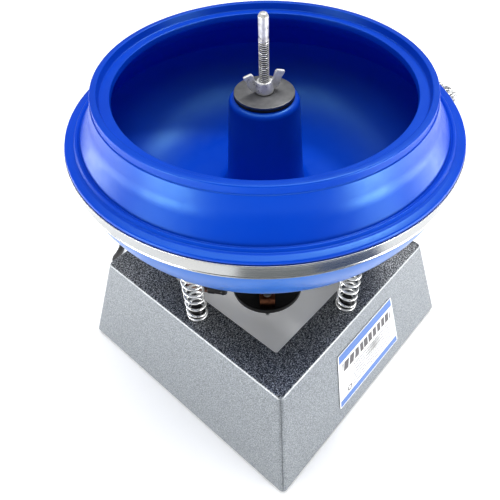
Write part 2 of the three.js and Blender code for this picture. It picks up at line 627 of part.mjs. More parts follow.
// One wing, standing in the XZ plane beyond the boss.
function wing() {
  const inner = WING_BOSS_RADIUS - 2;
  const tip = WING_SPAN / 2;
  const shape = new THREE.Shape();
  shape.moveTo(inner, 1.2);
  shape.lineTo(inner, 5.6);
  shape.quadraticCurveTo(inner + 2.6, 6.6, inner + 3, WING_RISE - 3);
  shape.quadraticCurveTo(inner + 4, WING_RISE, tip - 2.4, WING_RISE);
  shape.quadraticCurveTo(tip, WING_RISE - 0.6, tip - 0.4, WING_RISE - 4);
  shape.quadraticCurveTo(tip - 1.6, 3.2, inner, 1.2);
  return extruded(shape, WING_THICKNESS).translate(0, 0, -WING_THICKNESS / 2).rotateX(Math.PI / 2);
}

function wingNut() {
  const boss = turned([
    [0, 0], [WING_BOSS_RADIUS, 0], [WING_BOSS_RADIUS, 1.6], [WING_BOSS_RADIUS - 1.4, WING_BOSS_HEIGHT],
    [0, WING_BOSS_HEIGHT],
  ]);
  const bore = cylinder(CENTRE_STUD_RADIUS + GAP, -1, WING_BOSS_HEIGHT + 1);
  return cut(join(boss, wing(), wing().rotateZ(Math.PI)), bore);
}

function buildBowl() {
  const top = group(tumbler);
  place(top, "bowl", bowl(), BLUE_PLASTIC);
  const hole = CENTRE_STUD_RADIUS + HOLE_CLEARANCE;
  const gasket = pipe(GASKET_RADIUS, hole, 0, GASKET_THICKNESS, MOTOR_ROUND);
  place(top, "washer_gasket", gasket, BLACK_RUBBER, [0, 0, gasketZ]);
  const washer = pipe(WASHER_RADIUS, hole, 0, WASHER_THICKNESS, MOTOR_ROUND);
  place(top, "steel_washer", washer, ZINC, [0, 0, washerZ]);
  place(top, "wing_nut", wingNut(), ZINC, [0, 0, wingNutZ], [0, 0, WING_ANGLE]);
}

// ---- Motor --------------------------------------------------------------------------------------
function upperBell() {
  const inner = MOTOR_RADIUS - BELL_WALL;
  const low = stackTopZ + GAP;
  const bush = BUSH_RADIUS + GAP;
  return turned([
    [MOTOR_RADIUS, low], [MOTOR_RADIUS, motorTopZ - 2], [MOTOR_RADIUS - 2, motorTopZ], [0, motorTopZ],
    [0, motorTopZ - BELL_WALL], [bush, motorTopZ - BELL_WALL],
    [bush, motorTopZ - BELL_WALL - BUSH_LENGTH], [bush + 2, motorTopZ - BELL_WALL - BUSH_LENGTH],
    [bush + 2, motorTopZ - BELL_WALL], [inner, motorTopZ - BELL_WALL], [inner, low],
  ], MOTOR_ROUND);
}

function lowerBell() {
  const inner = MOTOR_RADIUS - BELL_WALL;
  const bush = BUSH_RADIUS + GAP;
  const floor = motorBottomZ + BELL_WALL;
  const shoulder = bend(LOWER_BELL_FLAT_RADIUS, lowerBellTopZ, MOTOR_RADIUS - LOWER_BELL_FLAT_RADIUS,
    LOWER_BELL_DEPTH, 0, Math.PI / 2, 5);
  const lining = bend(LOWER_BELL_FLAT_RADIUS, lowerBellTopZ, inner - LOWER_BELL_FLAT_RADIUS,
    LOWER_BELL_DEPTH - BELL_WALL, 0, Math.PI / 2, 5);
  return turned([
    [SHAFT_RADIUS + 1, motorBottomZ], ...shoulder, ...lining.reverse(),
    [bush + 2, floor], [bush + 2, floor + BUSH_LENGTH], [bush, floor + BUSH_LENGTH],
    [bush, floor], [SHAFT_RADIUS + 1, floor],
  ], MOTOR_ROUND);
}

function stator() {
  const stackSide = 2 * (MOTOR_RADIUS - STACK_INSET);
  const square = frustum(stackSide, stackSide, stackBottomZ, stackTopZ, STACK_CORNER_RADIUS);
  const bore = cylinder(ROTOR_RADIUS + ROTOR_AIR_GAP, stackBottomZ - 1, stackTopZ + 1, MOTOR_ROUND);
  const slots = [];
  const pitch = 360 / STACK_SLOTS;
  for (let i = 0; i < STACK_SLOTS; i++)
    slots.push(new THREE.BoxGeometry(STACK_SLOT_DEPTH, STACK_SLOT_WIDTH, STACK_HEIGHT + 2)
      .translate(ROTOR_RADIUS + 2, 0, (stackTopZ + stackBottomZ) / 2)
      .rotateZ(turn(pitch * i + pitch / 2)));
  return cut(square, bore, ...slots, ...motorBoltHoles(stackBottomZ - 1, stackTopZ + 1));
}

function winding() {
  const gap = GAP + 0.2;
  const middle = WINDING_SECTION_RADIUS + gap;
  const ring = Array.from({ length: 8 }, (_, i) => {
    const a = (Math.PI * i) / 4 + Math.PI / 8;
    const r = WINDING_RADIUS + WINDING_SECTION_RADIUS * Math.cos(a);
    return [r, stackTopZ + middle + WINDING_SECTION_RADIUS * Math.sin(a)];
  });
  return turned(ring, MOTOR_ROUND);
}

function motorBolt() {
  const headBottom = panFloorZ + GAP;
  const end = lowerBellTopZ + 0.6;
  return turned([
    [0, end], [MOTOR_BOLT_RADIUS - 0.4, end], [MOTOR_BOLT_RADIUS, end + 0.5],
    [MOTOR_BOLT_RADIUS, headBottom],
    [MOTOR_BOLT_HEAD_RADIUS, headBottom], [MOTOR_BOLT_HEAD_RADIUS, headBottom + 1.2],
    [MOTOR_BOLT_RADIUS, headBottom + MOTOR_BOLT_HEAD_HEIGHT], [0, headBottom + MOTOR_BOLT_HEAD_HEIGHT],
  ], 12);
}

function buildMotor() {
  const motor = group(tumbler);
  const bosses = Object.values(CORNERS).map((a) =>
    cylinder(MOTOR_BOSS_RADIUS, motorTopZ - 1, plateBottomZ - GAP, 12).translate(
      MOTOR_BOLT_CIRCLE_RADIUS * Math.cos(turn(a)), MOTOR_BOLT_CIRCLE_RADIUS * Math.sin(turn(a)), 0));
  const bell = cut(join(upperBell(), ...bosses), ...motorBoltHoles(stackTopZ, plateBottomZ + 1));
  place(motor, "motor_upper_bell", bell, BLACK_PLASTIC);
  place(motor, "motor_stator", stator(), LAMINATION);
  place(motor, "motor_winding", winding(), COPPER);
  place(motor, "motor_lower_bell", lowerBell(), BLACK_PLASTIC);
  const bore = SHAFT_RADIUS + RUNNING_CLEARANCE;
  const bush = pipe(BUSH_RADIUS, bore, 0, BUSH_LENGTH - GAP, 20);
  place(motor, "upper_bearing", bush, BRONZE, [0, 0, motorTopZ - BELL_WALL - BUSH_LENGTH]);
  place(motor, "lower_bearing", bush.clone(), BRONZE, [0, 0, motorBottomZ + BELL_WALL + GAP]);
  for (const [corner, degrees] of Object.entries(CORNERS)) {
    const a = turn(degrees);
    const at = [MOTOR_BOLT_CIRCLE_RADIUS * Math.cos(a), MOTOR_BOLT_CIRCLE_RADIUS * Math.sin(a), 0];
    place(motor, `motor_bolt_${corner}`, motorBolt(), ZINC, at);
  }
}

// ---- Rotor and flywheel -------------------------------------------------------------------------
function flywheel() {
  const bore = SHAFT_RADIUS + GAP;
  const top = flywheelZ + FLYWHEEL_DISC;
  const cup = turned([
    [bore, flywheelZ], [flywheelRadius - 1, flywheelZ], [flywheelRadius, flywheelZ + 1],
    [flywheelRadius, top + FLYWHEEL_RIM_HEIGHT], [flywheelInner, top + FLYWHEEL_RIM_HEIGHT],
    [flywheelInner, top],
    [FLYWHEEL_HUB_RADIUS, top], [FLYWHEEL_HUB_RADIUS, top + FLYWHEEL_HUB_HEIGHT],
    [bore, top + FLYWHEEL_HUB_HEIGHT],
  ], 32);
  return cut(cup, weightScrewHole(flywheelZ - 1, top + 1));
}

function weightScrewHole(z0, z1) {
  return cylinder(WEIGHT_SCREW_RADIUS + GAP, z0, z1, 12)
    .translate(WEIGHT_CENTRE_RADIUS, 0, 0).rotateZ(WEIGHT_ANGLE);
}

function buildRotor() {
  const rotor = group(tumbler);
  const shaftTop = motorTopZ - BELL_WALL - GAP;
  place(rotor, "motor_shaft", turned([
    [0, shaftEndZ], [SHAFT_RADIUS - 0.6, shaftEndZ], [SHAFT_RADIUS, shaftEndZ + 0.6],
    [SHAFT_RADIUS, shaftTop - 0.6], [SHAFT_RADIUS - 0.6, shaftTop], [0, shaftTop],
  ], 20), ZINC);
  const core = pipe(ROTOR_RADIUS, SHAFT_RADIUS + GAP, stackBottomZ, stackTopZ, MOTOR_ROUND);
  place(rotor, "rotor_core", core, LAMINATION);
  place(rotor, "flywheel", flywheel(), BLACK_PLASTIC);
  const arm = group(rotor, [0, 0, 0], [0, 0, WEIGHT_ANGLE]);
  const weightZ = flywheelZ + FLYWHEEL_DISC + GAP;
  const block = new THREE.BoxGeometry(WEIGHT_DEPTH, WEIGHT_WIDTH, WEIGHT_HEIGHT)
    .translate(WEIGHT_CENTRE_RADIUS, 0, weightZ + WEIGHT_HEIGHT / 2);
  const hole = cylinder(WEIGHT_SCREW_RADIUS + GAP, weightZ - 1, weightZ + WEIGHT_HEIGHT + 1, 12)
    .translate(WEIGHT_CENTRE_RADIUS, 0, 0);
  place(arm, "eccentric_weight", cut(block, hole), COPPER);
  const headZ = weightZ + WEIGHT_HEIGHT + GAP;
  const screwEnd = flywheelZ - WEIGHT_SCREW_TAIL;
  place(arm, "weight_screw", turned([
    [0, screwEnd], [WEIGHT_SCREW_RADIUS, screwEnd], [WEIGHT_SCREW_RADIUS, headZ],
    [WEIGHT_SCREW_HEAD_RADIUS, headZ], [WEIGHT_SCREW_HEAD_RADIUS, headZ + WEIGHT_SCREW_HEAD_HEIGHT],
    [0, headZ + WEIGHT_SCREW_HEAD_HEIGHT],
  ], 12), ZINC, [WEIGHT_CENTRE_RADIUS, 0, 0]);
  const nut = hexNut(NUT_FLATS, WEIGHT_NUT_HEIGHT, WEIGHT_SCREW_RADIUS + GAP);
  const nutZ = flywheelZ - GAP - WEIGHT_NUT_HEIGHT;
  place(arm, "weight_nut", nut, DARK_STEEL, [WEIGHT_CENTRE_RADIUS, 0, nutZ]);
}

// ---- Leads --------------------------------------------------------------------------------------
// From the strain relief to the coil, and from the coil to the plug.
const CORD_ROUTE = [
  [-60, 139.2, 15.9], [-60, 149, 18], [-58, 158.5, 17.6], [-53, 166.5, 13.4], [-45.5, 173.5, 7.8],
  [-36, 181, 4.2], [-26, 190.5, 3.3], [-13, 201.5, 3.3], [4, 211.5, 3.3], [26, 219, 3.3],
  [50, 221.5, 3.3], [76, 219, 3.3], [102, 211.5, 3.3], [126, 201.5, 3.3], [147.5, 195.2, 3.3],
];
const TAIL_ROUTE = [
  [197, 194, 8.9], [209, 191, 6.6], [220.5, 184, 4.4], [229, 173.5, 3.4], [233.2, 161.5, 4.4],
  [234, 150, 6.5], [234, 140, 6.8],
];

function strainRelief() {
  const inside = -(BASE_SHEET + 2.4);
  return turned([
    [0, inside - 2], [RELIEF_NECK_RADIUS - 1.4, inside - 2], [RELIEF_NECK_RADIUS + 0.2, inside],
    [RELIEF_NECK_RADIUS, GAP], [RELIEF_FLANGE_RADIUS, GAP], [RELIEF_FLANGE_RADIUS, 3],
    [5.6, 4.4], [4.2, RELIEF_LENGTH], [0, RELIEF_LENGTH],
  ]);
}

function coil() {
  const outer = COIL_MEAN_RADIUS + (COIL_LANE * (COIL_LANES - 1)) / 2 + CORD_RADIUS;
  const inner = 2 * COIL_MEAN_RADIUS - outer;
  const low = LIE_CLEARANCE;
  const top = CORD_RADIUS * 2 + COIL_LANE * (COIL_LAYERS - 1) + low;
  const round = 1.6;
  return { outer, inner, top, geometry: turned([
    [inner + round, low], [outer - round, low], [outer, low + round], [outer, top - round],
    [outer - round, top], [inner + round, top], [inner, top - round], [inner, low + round],
  ], 32) };
}

// A strap over the coil's inner side, top and outer side.
function tie({ outer, inner, top }) {
  const far = outer + GAP + TIE_THICKNESS;
  const near = Math.sqrt(inner ** 2 - TIE_WIDTH ** 2 / 4) - 2 * GAP - TIE_THICKNESS;
  const high = top + GAP + TIE_THICKNESS;
  const low = LIE_CLEARANCE;
  const strap = polygon([
    [near, low], [near + TIE_THICKNESS, low], [near + TIE_THICKNESS, high - TIE_THICKNESS],
    [far - TIE_THICKNESS, high - TIE_THICKNESS], [far - TIE_THICKNESS, low], [far, low],
    [far, high - 0.8], [far - 0.8, high], [near + 0.8, high], [near, high - 0.8],
  ]);
  return extruded(strap, TIE_WIDTH).translate(0, 0, -TIE_WIDTH / 2).rotateX(Math.PI / 2);
}

function plugBody() {
  const half = PLUG_WIDTH / 2;
  const shape = polygon([
    [-CORD_RADIUS - 0.8, 0], [CORD_RADIUS + 0.8, 0], [half - 3.4, -PLUG_TAIL_LENGTH],
    [half - 1, -PLUG_TAIL_LENGTH - 4], [half, -PLUG_TAIL_LENGTH - 9],
    [half, -PLUG_TAIL_LENGTH - PLUG_BODY_LENGTH + 2], [half - 2, -PLUG_TAIL_LENGTH - PLUG_BODY_LENGTH],
    [2 - half, -PLUG_TAIL_LENGTH - PLUG_BODY_LENGTH], [-half, -PLUG_TAIL_LENGTH - PLUG_BODY_LENGTH + 2],
    [-half, -PLUG_TAIL_LENGTH - 9], [1 - half, -PLUG_TAIL_LENGTH - 4], [3.4 - half, -PLUG_TAIL_LENGTH],
  ].reverse());
  return extruded(shape, PLUG_THICKNESS);
}

function buildLeads() {
  const leads = group(tumbler);
  const wall = group(leads, [RELIEF_X, wallAt(RELIEF_Z), RELIEF_Z], [-Math.PI / 2 + wallSlope, 0, 0]);
  place(wall, "strain_relief", strainRelief(), BLACK_RUBBER);
  place(leads, "mains_cord", tube(CORD_ROUTE, CORD_RADIUS, 32), BLACK_RUBBER);
  place(leads, "mains_cord_tail", tube(TAIL_ROUTE, CORD_RADIUS, 10), BLACK_RUBBER);
  const wound = coil();
  const store = group(leads, [COIL_CENTRE.x, COIL_CENTRE.y, 0]);
  place(store, "cord_coil", wound.geometry, BLACK_RUBBER);
  place(store, "cord_tie", tie(wound), BLACK_PLASTIC, [0, 0, 0], [0, 0, TIE_ANGLE]);
  const [plugX, plugStart] = TAIL_ROUTE.at(-1);
  const plug = group(leads, [plugX, plugStart - GAP, 0]);
  place(plug, "plug_body", plugBody(), BLACK_PLASTIC, [0, 0, LIE_CLEARANCE]);
  const bladeY = -PLUG_TAIL_LENGTH - PLUG_BODY_LENGTH - GAP - BLADE_LENGTH / 2;
  for (const [side, x] of [["left", -BLADE_SPACING / 2], ["right", BLADE_SPACING / 2]]) {
    const blade = new THREE.BoxGeometry(BLADE_THICKNESS, BLADE_LENGTH, BLADE_WIDTH);
    const middle = [x, bladeY, PLUG_THICKNESS / 2 + LIE_CLEARANCE];
    place(plug, `plug_blade_${side}`, blade, BRONZE, middle);
  }

  // The motor's lead and the mains lead meet in a closed-end connector beside the left spring.
  const mouthX = -(springCircle - SPRING_OUTER_RADIUS - CONNECTOR_TO_SPRING);
  const mouth = new THREE.Vector3(mouthX, 5, stackBottomZ - CONNECTOR_BELOW_STACK);
  const along = new THREE.Vector3(0.5, -0.866, 0);
  const connector = turned([
    [0, 0], [CONNECTOR_RADIUS, 0], [CONNECTOR_RADIUS, CONNECTOR_LENGTH - 3],
    [CONNECTOR_RADIUS - 1.4, CONNECTOR_LENGTH - 0.8], [0, CONNECTOR_LENGTH],
  ], 12);
  const cap = place(leads, "wire_connector", connector, BLACK_PLASTIC, mouth.toArray());
  cap.quaternion.setFromUnitVectors(new THREE.Vector3(0, 0, 1), along);
  const side = new THREE.Vector3(-along.y, along.x, 0).multiplyScalar(WIRE_RADIUS + GAP / 2);
  const back = mouth.clone().addScaledVector(along, -GAP);
  const motorEnd = back.clone().add(side);
  const mainsEnd = back.clone().sub(side);
  const before = (end, reach) => end.clone().addScaledVector(along, -reach).toArray();
  const entryX = -(MOTOR_RADIUS - STACK_INSET + WIRE_RADIUS);
  place(leads, "motor_lead", tube([
    motorEnd.toArray(), before(motorEnd, 6), [mouthX + 3.5, 20, stackBottomZ - 5.4],
    [(mouthX + entryX) / 2 + 0.5, 24, stackBottomZ + 5.6], [entryX - 4.1, 20, stackBottomZ + 13.6],
    [entryX, 16, stackBottomZ + 16.6],
  ], WIRE_RADIUS, 16, 6), BROWN_WIRE);
  const reliefBack = wallAt(RELIEF_Z) - 10;
  place(leads, "supply_lead", tube([
    mainsEnd.toArray(), before(mainsEnd, 6), [mouthX - 2.5, 24, mouth.z - 8], [-62, 44, 74], [-60, 66, 40],
    [-60, 86, 16], [RELIEF_X, reliefBack, RELIEF_Z - 2],
  ], WIRE_RADIUS, 22, 6), BROWN_WIRE);
}

buildBase();
buildPan();
buildBowl();
buildMotor();
buildRotor();
buildLeads();

export default tumbler;
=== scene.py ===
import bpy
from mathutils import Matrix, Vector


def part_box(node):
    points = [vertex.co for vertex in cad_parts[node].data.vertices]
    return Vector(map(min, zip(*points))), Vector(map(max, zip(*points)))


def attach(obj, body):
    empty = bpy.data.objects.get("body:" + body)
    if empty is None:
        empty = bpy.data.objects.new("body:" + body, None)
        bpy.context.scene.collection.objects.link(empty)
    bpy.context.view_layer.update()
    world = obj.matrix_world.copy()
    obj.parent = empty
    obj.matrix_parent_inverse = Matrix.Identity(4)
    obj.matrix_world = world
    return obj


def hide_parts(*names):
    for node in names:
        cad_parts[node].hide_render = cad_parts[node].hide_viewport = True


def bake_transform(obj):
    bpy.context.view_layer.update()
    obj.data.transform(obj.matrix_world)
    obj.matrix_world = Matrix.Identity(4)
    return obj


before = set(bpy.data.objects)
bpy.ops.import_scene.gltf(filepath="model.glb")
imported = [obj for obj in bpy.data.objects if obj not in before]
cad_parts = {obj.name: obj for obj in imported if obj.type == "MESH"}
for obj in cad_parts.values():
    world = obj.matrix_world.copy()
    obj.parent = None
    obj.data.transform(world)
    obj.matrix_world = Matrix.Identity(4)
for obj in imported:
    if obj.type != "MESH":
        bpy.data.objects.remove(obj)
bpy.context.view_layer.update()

import math

import bmesh
import bpy
from mathutils import Matrix, Vector

MM = 0.001
TURN = 2 * math.pi

# ---- Places read from the frame -----------------------------------------------------------------
def heights(name):
    """The lowest and the highest z of a CAD node."""
    low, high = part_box(name)
    return low.z, high.z


foot_z, deck_z = heights("base_shell")
base_half_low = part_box("base_shell")[1].x
plate_low, plate_top = heights("motor_plate")
pan_low, pan_top = heights("pan")
pan_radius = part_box("pan")[1].x
bowl_low, rim_z = heights("bowl")
flange_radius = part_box("bowl")[1].x
band_low, band_top = heights("clamp_band")
band_height = band_top - band_low
flange_seat = band_top + 0.3 * MM
stud_low, stud_tip = heights("centre_stud")
spring_low, spring_high = heights("spring_front")
spring_circle = (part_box("spring_right")[0].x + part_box("spring_right")[1].x) / 2
motor_top = heights("upper_bearing")[1] + 2.3 * MM
stack_low, stack_high = heights("motor_stator")
bell_low = heights("motor_lower_bell")[0]
nut_z = heights("wing_nut")[0]
post_top = heights("washer_gasket")[0] - 0.3 * MM

# ---- Sizes the frame doesn't give ---------------------------------------------------------------
# base
BASE_HALF_TOP = 94.2 * MM
BASE_SHEET = 1.6 * MM
BASE_CORNER = 4 * MM
BASE_SEAM = 0.55 * MM
OPENING_HALF = 68.2 * MM
OPENING_CORNER = 2 * MM
RETURN_WIDTH = 13 * MM
# pan and band
PAN_FLAT_RADIUS = 59.6 * MM
PAN_BEND_RADIUS = 68 * MM
PAN_BEND_END = math.radians(80)
PAN_WALL = 1.5 * MM
BAND_ANGLE = math.radians(-35)
BAND_SHEET = 0.7 * MM
BAND_ROLLED_EDGE = 0.33 * MM
BAND_SLOT = 2.1 * MM
# bowl; the flare's middle is given as shares of its reach and its height
RIM_RADIUS = 105 * MM
RIM_WIDTH = 4.2 * MM
LEDGE_WIDTH = 6.7 * MM
LEDGE_DROP = 4.8 * MM
LIP_HEIGHT = 5.2 * MM
BOWL_WALL = 5 * MM
FLARE_RADIUS = 117.5 * MM
FLARE_MIDDLE = (0.36, 0.5)
BEND_BELOW_FLANGE = 8 * MM
FLANGE_THICKNESS = 3.6 * MM
BEAD_RADIUS = 1.3 * MM
SKIRT_CLEARANCE = 1 * MM
POST_TOP_RADIUS = 22.6 * MM
POST_FOOT_RADIUS = 27.5 * MM
POST_WALL = 4 * MM
# stud, threads and springs
STUD_RADIUS = 3.175 * MM
STUD_BARE_TIP = 16.2 * MM
STUD_HOLE = 3.6 * MM
THREAD_PITCH = 1.27 * MM
SMALL_THREAD_RADIUS = 2 * MM
SMALL_THREAD_PITCH = 0.7 * MM
SMALL_THREAD_DEPTH = 0.35 * MM
WASHER_RADIUS = 19.4 * MM
SPRING_RADIUS = 8 * MM
SPRING_WIRE = 1.9 * MM
SPRING_TURNS = 9.0
CLOSED_TURN_PITCH = 2.24  # of an end turn, in wire radii
# motor, weight, nut and leads
MOTOR_RADIUS = 40 * MM
MOTOR_BOLT_CIRCLE = 34.5 * MM
BELL_WALL = 2 * MM
WEIGHT_CENTRE_RADIUS = 22.5 * MM
WEIGHT_ANGLE = math.radians(-138.5)
WING_ANGLE = math.radians(-30)
CORD_RADIUS = 3.2 * MM
INNER_LEAD_RADIUS = 1.5 * MM
# floor, backdrop, node places and surfaces
FLOOR_HALF = 6.0
SKY_LIGHT = 0.2
SKY_SEEN = 0.85
SIDES = ["right", "back", "left", "front"]
CORNERS = ["back_right", "back_left", "front_left", "front_right"]
PEBBLE_SWAY = 0.6 * MM
LAMINATION = 0.7 * MM

wall_tilt = math.atan2(base_half_low - BASE_HALF_TOP, deck_z - foot_z)

# the view's turn about the upright axis, and before that turn the camera's axes, its place in rim radii
# from the rim's middle, and its focal length and shift as shares of the sensor
VIEW_YAW = math.radians(-48.5145)
VIEW_RIGHT = (0.9999, -0.0108, -0.0099)
VIEW_UP = (0.0147, 0.7439, 0.6681)
VIEW_PLACE = (0.0, -2.789, 1.566)
VIEW_FOCAL = 520.77 / 500
VIEW_SHIFT = (-0.0332, -0.0004)
SENSOR = 36


# ---- Camera, first of all -----------------------------------------------------------------------
def camera():
    """A wide lens close above the rim, looking steeply down past the left corner of the label face."""
    turn = Matrix.Rotation(VIEW_YAW, 3, "Z")
    right, up = turn @ Vector(VIEW_RIGHT), turn @ Vector(VIEW_UP)
    right.normalize()
    up = (up - up.dot(right) * right).normalized()
    back = right.cross(up)
    place = turn @ Vector(VIEW_PLACE) * RIM_RADIUS + Vector((0, 0, rim_z))
    lens = bpy.data.cameras.new("camera")
    lens.sensor_width = SENSOR
    lens.lens = SENSOR * VIEW_FOCAL
    lens.shift_x, lens.shift_y = VIEW_SHIFT
    lens.clip_start = 0.01
    lens.clip_end = 50
    eye = bpy.data.objects.new("camera", lens)
    eye.matrix_world = Matrix.Translation(place) @ Matrix((right, up, back)).transposed().to_4x4()
    bpy.context.scene.collection.objects.link(eye)
    bpy.context.scene.camera = eye


camera()


# ---- Mesh tools ---------------------------------------------------------------------------------
def placed(name, mesh):
    """A mesh as an object of the scene."""
    obj = bpy.data.objects.new(name, mesh)
    bpy.context.scene.collection.objects.link(obj)
    return obj


def piece(name, verts, faces, sharp=35):
    """A mesh object, smooth apart from edges sharper than the given angle."""
    mesh = bpy.data.meshes.new(name)
    mesh.from_pydata([tuple(v) for v in verts], [], faces)
    mesh.validate()
    obj = placed(name, mesh)
    face_out(obj)
    smooth(obj, sharp)
    return obj


def face_out(obj):
    """Merges doubled points and turns every face outward."""
    work = bmesh.new()
    work.from_mesh(obj.data)
    bmesh.ops.remove_doubles(work, verts=work.verts, dist=1e-7)
    bmesh.ops.recalc_face_normals(work, faces=work.faces)
    work.to_mesh(obj.data)
    work.free()


def smooth(obj, sharp=35):
    """Smooth shading, apart from edges sharper than this many degrees."""
    obj.data.polygons.foreach_set("use_smooth", [True] * len(obj.data.polygons))
    obj.data.set_sharp_from_angle(angle=math.radians(sharp))
    obj.data.update()


def filleted(outline, steps=4):
    """Outline points (a, b, radius) with each corner rounded to its radius; radius 0 stays sharp."""
    nearly_straight = math.radians(88)
    most_of_side = 0.49
    out = []
    for i, (a, b, radius) in enumerate(outline):
        here = Vector((a, b))
        before = Vector(outline[i - 1][:2]) - here
        after = Vector(outline[(i + 1) % len(outline)][:2]) - here
        if radius <= 0 or before.angle(after) / 2 > nearly_straight:
            out.append((a, b))
            continue
        half = before.angle(after) / 2
        reach = min(radius / math.tan(half), most_of_side * before.length, most_of_side * after.length)
        start, end = here + before.normalized() * reach, here + after.normalized() * reach
        for k in range(steps + 1):
            t = k / steps
            spot = start * (1 - t) ** 2 + here * 2 * t * (1 - t) + end * t ** 2
            out.append((spot.x, spot.y))
    return out


def bend(radius, height, reach, drop, end, steps):
    """(radius, height, 0) on an elliptical bend, from straight down to the end angle."""
    angles = [end * k / steps for k in range(steps + 1)]
    return [(radius + reach * math.sin(a), height - drop * math.cos(a), 0) for a in angles]


def near(across, up, *points):
    """Outline points (a, b, fillet) in millimetres, measured from a place on the section."""
    return [(across + a * MM, up + b * MM, fillet * MM) for a, b, fillet in points]


def block(low, high, half, low_fillet, high_fillet):
    """A rectangle's outline in millimetres, from low to high along X, with a fillet for each end."""
    return near(0, 0, (low, -half, low_fillet), (high, -half, high_fillet), (high, half, high_fillet),
                (low, half, low_fillet))


def polar(radius, angle, z=0.0):
    """A place at a radius and an angle about the upright axis."""
    return Vector((radius * math.cos(angle), radius * math.sin(angle), z))


def middle_and_size(name):
    """The middle and the size of a CAD node's box."""
    low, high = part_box(name)
    return (low + high) / 2, high - low


def lofted(rings, closed=True):
    """Quads between rings of equal count; closed joins the last ring to the first, else caps both."""
    count = len(rings[0])
    verts = [v for ring in rings for v in ring]
    faces = []
    pairs = len(rings) if closed else len(rings) - 1
    for i in range(pairs):
        j = (i + 1) % len(rings)
        for k in range(count):
            m = (k + 1) % count
            faces.append((i * count + k, i * count + m, j * count + m, j * count + k))
    if not closed:
        faces.append(tuple(range(count))[::-1])
        faces.append(tuple((len(rings) - 1) * count + k for k in range(count)))
    return verts, faces


def turned(name, outline, sides=128, place=(0, 0, 0), axis=(0, 0, 1), sharp=35, steps=4):
    """An outline of (radius, height, fillet) turned about an axis; points on the axis make its poles."""
    line = filleted(outline, steps)
    on_axis = line[0][0] < 1e-9 and line[-1][0] < 1e-9
    stand = Vector((0, 0, 1)).rotation_difference(Vector(axis)).to_matrix()
    verts, faces, starts = [], [], []
    for r, z in line:
        starts.append((len(verts), r < 1e-9))
        for k in range(1 if r < 1e-9 else sides):
            verts.append(stand @ polar(r, TURN * k / sides, z) + Vector(place))
    last = len(line) - 1 if on_axis else len(line)
    for i in range(last):
        (p, p_pole), (q, q_pole) = starts[i], starts[(i + 1) % len(line)]
        if p_pole and q_pole:
            continue
        for k in range(sides):
            m = (k + 1) % sides
            if p_pole:
                faces.append((p, q + m, q + k))
            elif q_pole:
                faces.append((p + k, p + m, q))
            else:
                faces.append((p + k, p + m, q + m, q + k))
    return piece(name, verts, faces, sharp)


def disc(name, hole, radius, low, high, fillet, sides):
    """A flat ring or, with no hole, a round bar."""
    outline = [(hole, low, 0), (radius, low, fillet), (radius, high, fillet), (hole, high, 0)]
    return turned(name, outline, sides)


def extruded(name, outline, thickness, frame_at, bevel=0.0, sharp=35):
    """A flat outline (x, y, fillet) given thickness along its frame's Z, centred on it."""
    line = filleted(outline, 4)
    rings = [[frame_at @ Vector((x, y, z)) for x, y in line] for z in (-thickness / 2, thickness / 2)]
    obj = piece(name, *lofted(rings, closed=False), sharp)
    if bevel:
        bevelled(obj, bevel)
    return obj


def bevelled(obj, width):
    """Softens the edges sharper than 40 degrees."""
    modifier = obj.modifiers.new("bevel", "BEVEL")
    modifier.width = width
    modifier.segments = 2
    modifier.limit_method = "ANGLE"
    modifier.angle_limit = math.radians(40)
    modifier.use_clamp_overlap = True
    applied(obj)
    smooth(obj, 50)


def applied(obj):
    """Makes the object's modifiers its own plain mesh."""
    seen = obj.evaluated_get(bpy.context.evaluated_depsgraph_get())
    mesh = bpy.data.meshes.new_from_object(seen)
    obj.modifiers.clear()
    old = obj.data
    obj.data = mesh
    bpy.data.meshes.remove(old)


def joined(name, *parts):
    """Several pieces as one object."""
    work = bmesh.new()
    for part in parts:
        work.from_mesh(part.data)
    mesh = bpy.data.meshes.new(name)
    work.to_mesh(mesh)
    work.free()
    for part in parts:
        bpy.data.objects.remove(part)
    obj = placed(name, mesh)
    smooth(obj)
    return obj


def fused(obj, voxel, rounds):
    """Melts overlapping solids into one soft-edged casting."""
    remesh = obj.modifiers.new("fuse", "REMESH")
    remesh.mode = "VOXEL"
    remesh.voxel_size = voxel
    ease = obj.modifiers.new("ease", "SMOOTH")
    ease.iterations = rounds
    ease.factor = 0.5
    applied(obj)
    smooth(obj, 60)


def catmull(points, step, pieces=24):
    """Spots a step apart on a smooth curve through the points, which is first cut into fine pieces."""
    spots = [Vector(p) for p in points]
    ends = [2 * spots[0] - spots[1]] + spots + [2 * spots[-1] - spots[-2]]
    fine = []
    for i in range(1, len(ends) - 2):
        p0, p1, p2, p3 = ends[i - 1:i + 3]
        knots = [0.0]
        for a, b in ((p0, p1), (p1, p2), (p2, p3)):
            knots.append(knots[-1] + max((b - a).length, 1e-9) ** 0.5)
        for k in range(pieces):
            t = knots[1] + (knots[2] - knots[1]) * k / pieces

            def part(a, b, i, j):
                return a.lerp(b, (t - knots[i]) / (knots[j] - knots[i]))

            middle = part(p1, p2, 1, 2)
            before = part(part(p0, p1, 0, 1), middle, 0, 2)
            after = part(middle, part(p2, p3, 2, 3), 1, 3)
            fine.append(part(before, after, 1, 2))
    fine.append(spots[-1])
    run = [0.0]
    for a, b in zip(fine, fine[1:]):
        run.append(run[-1] + (b - a).length)
    count = max(2, round(run[-1] / step))
    even, i = [], 0
    for k in range(count + 1):
        want = run[-1] * k / count
        while i < len(run) - 2 and run[i + 1] < want:
            i += 1
        share = (want - run[i]) / max(run[i + 1] - run[i], 1e-12)
        even.append(fine[i].lerp(fine[i + 1], min(max(share, 0), 1)))
    return even


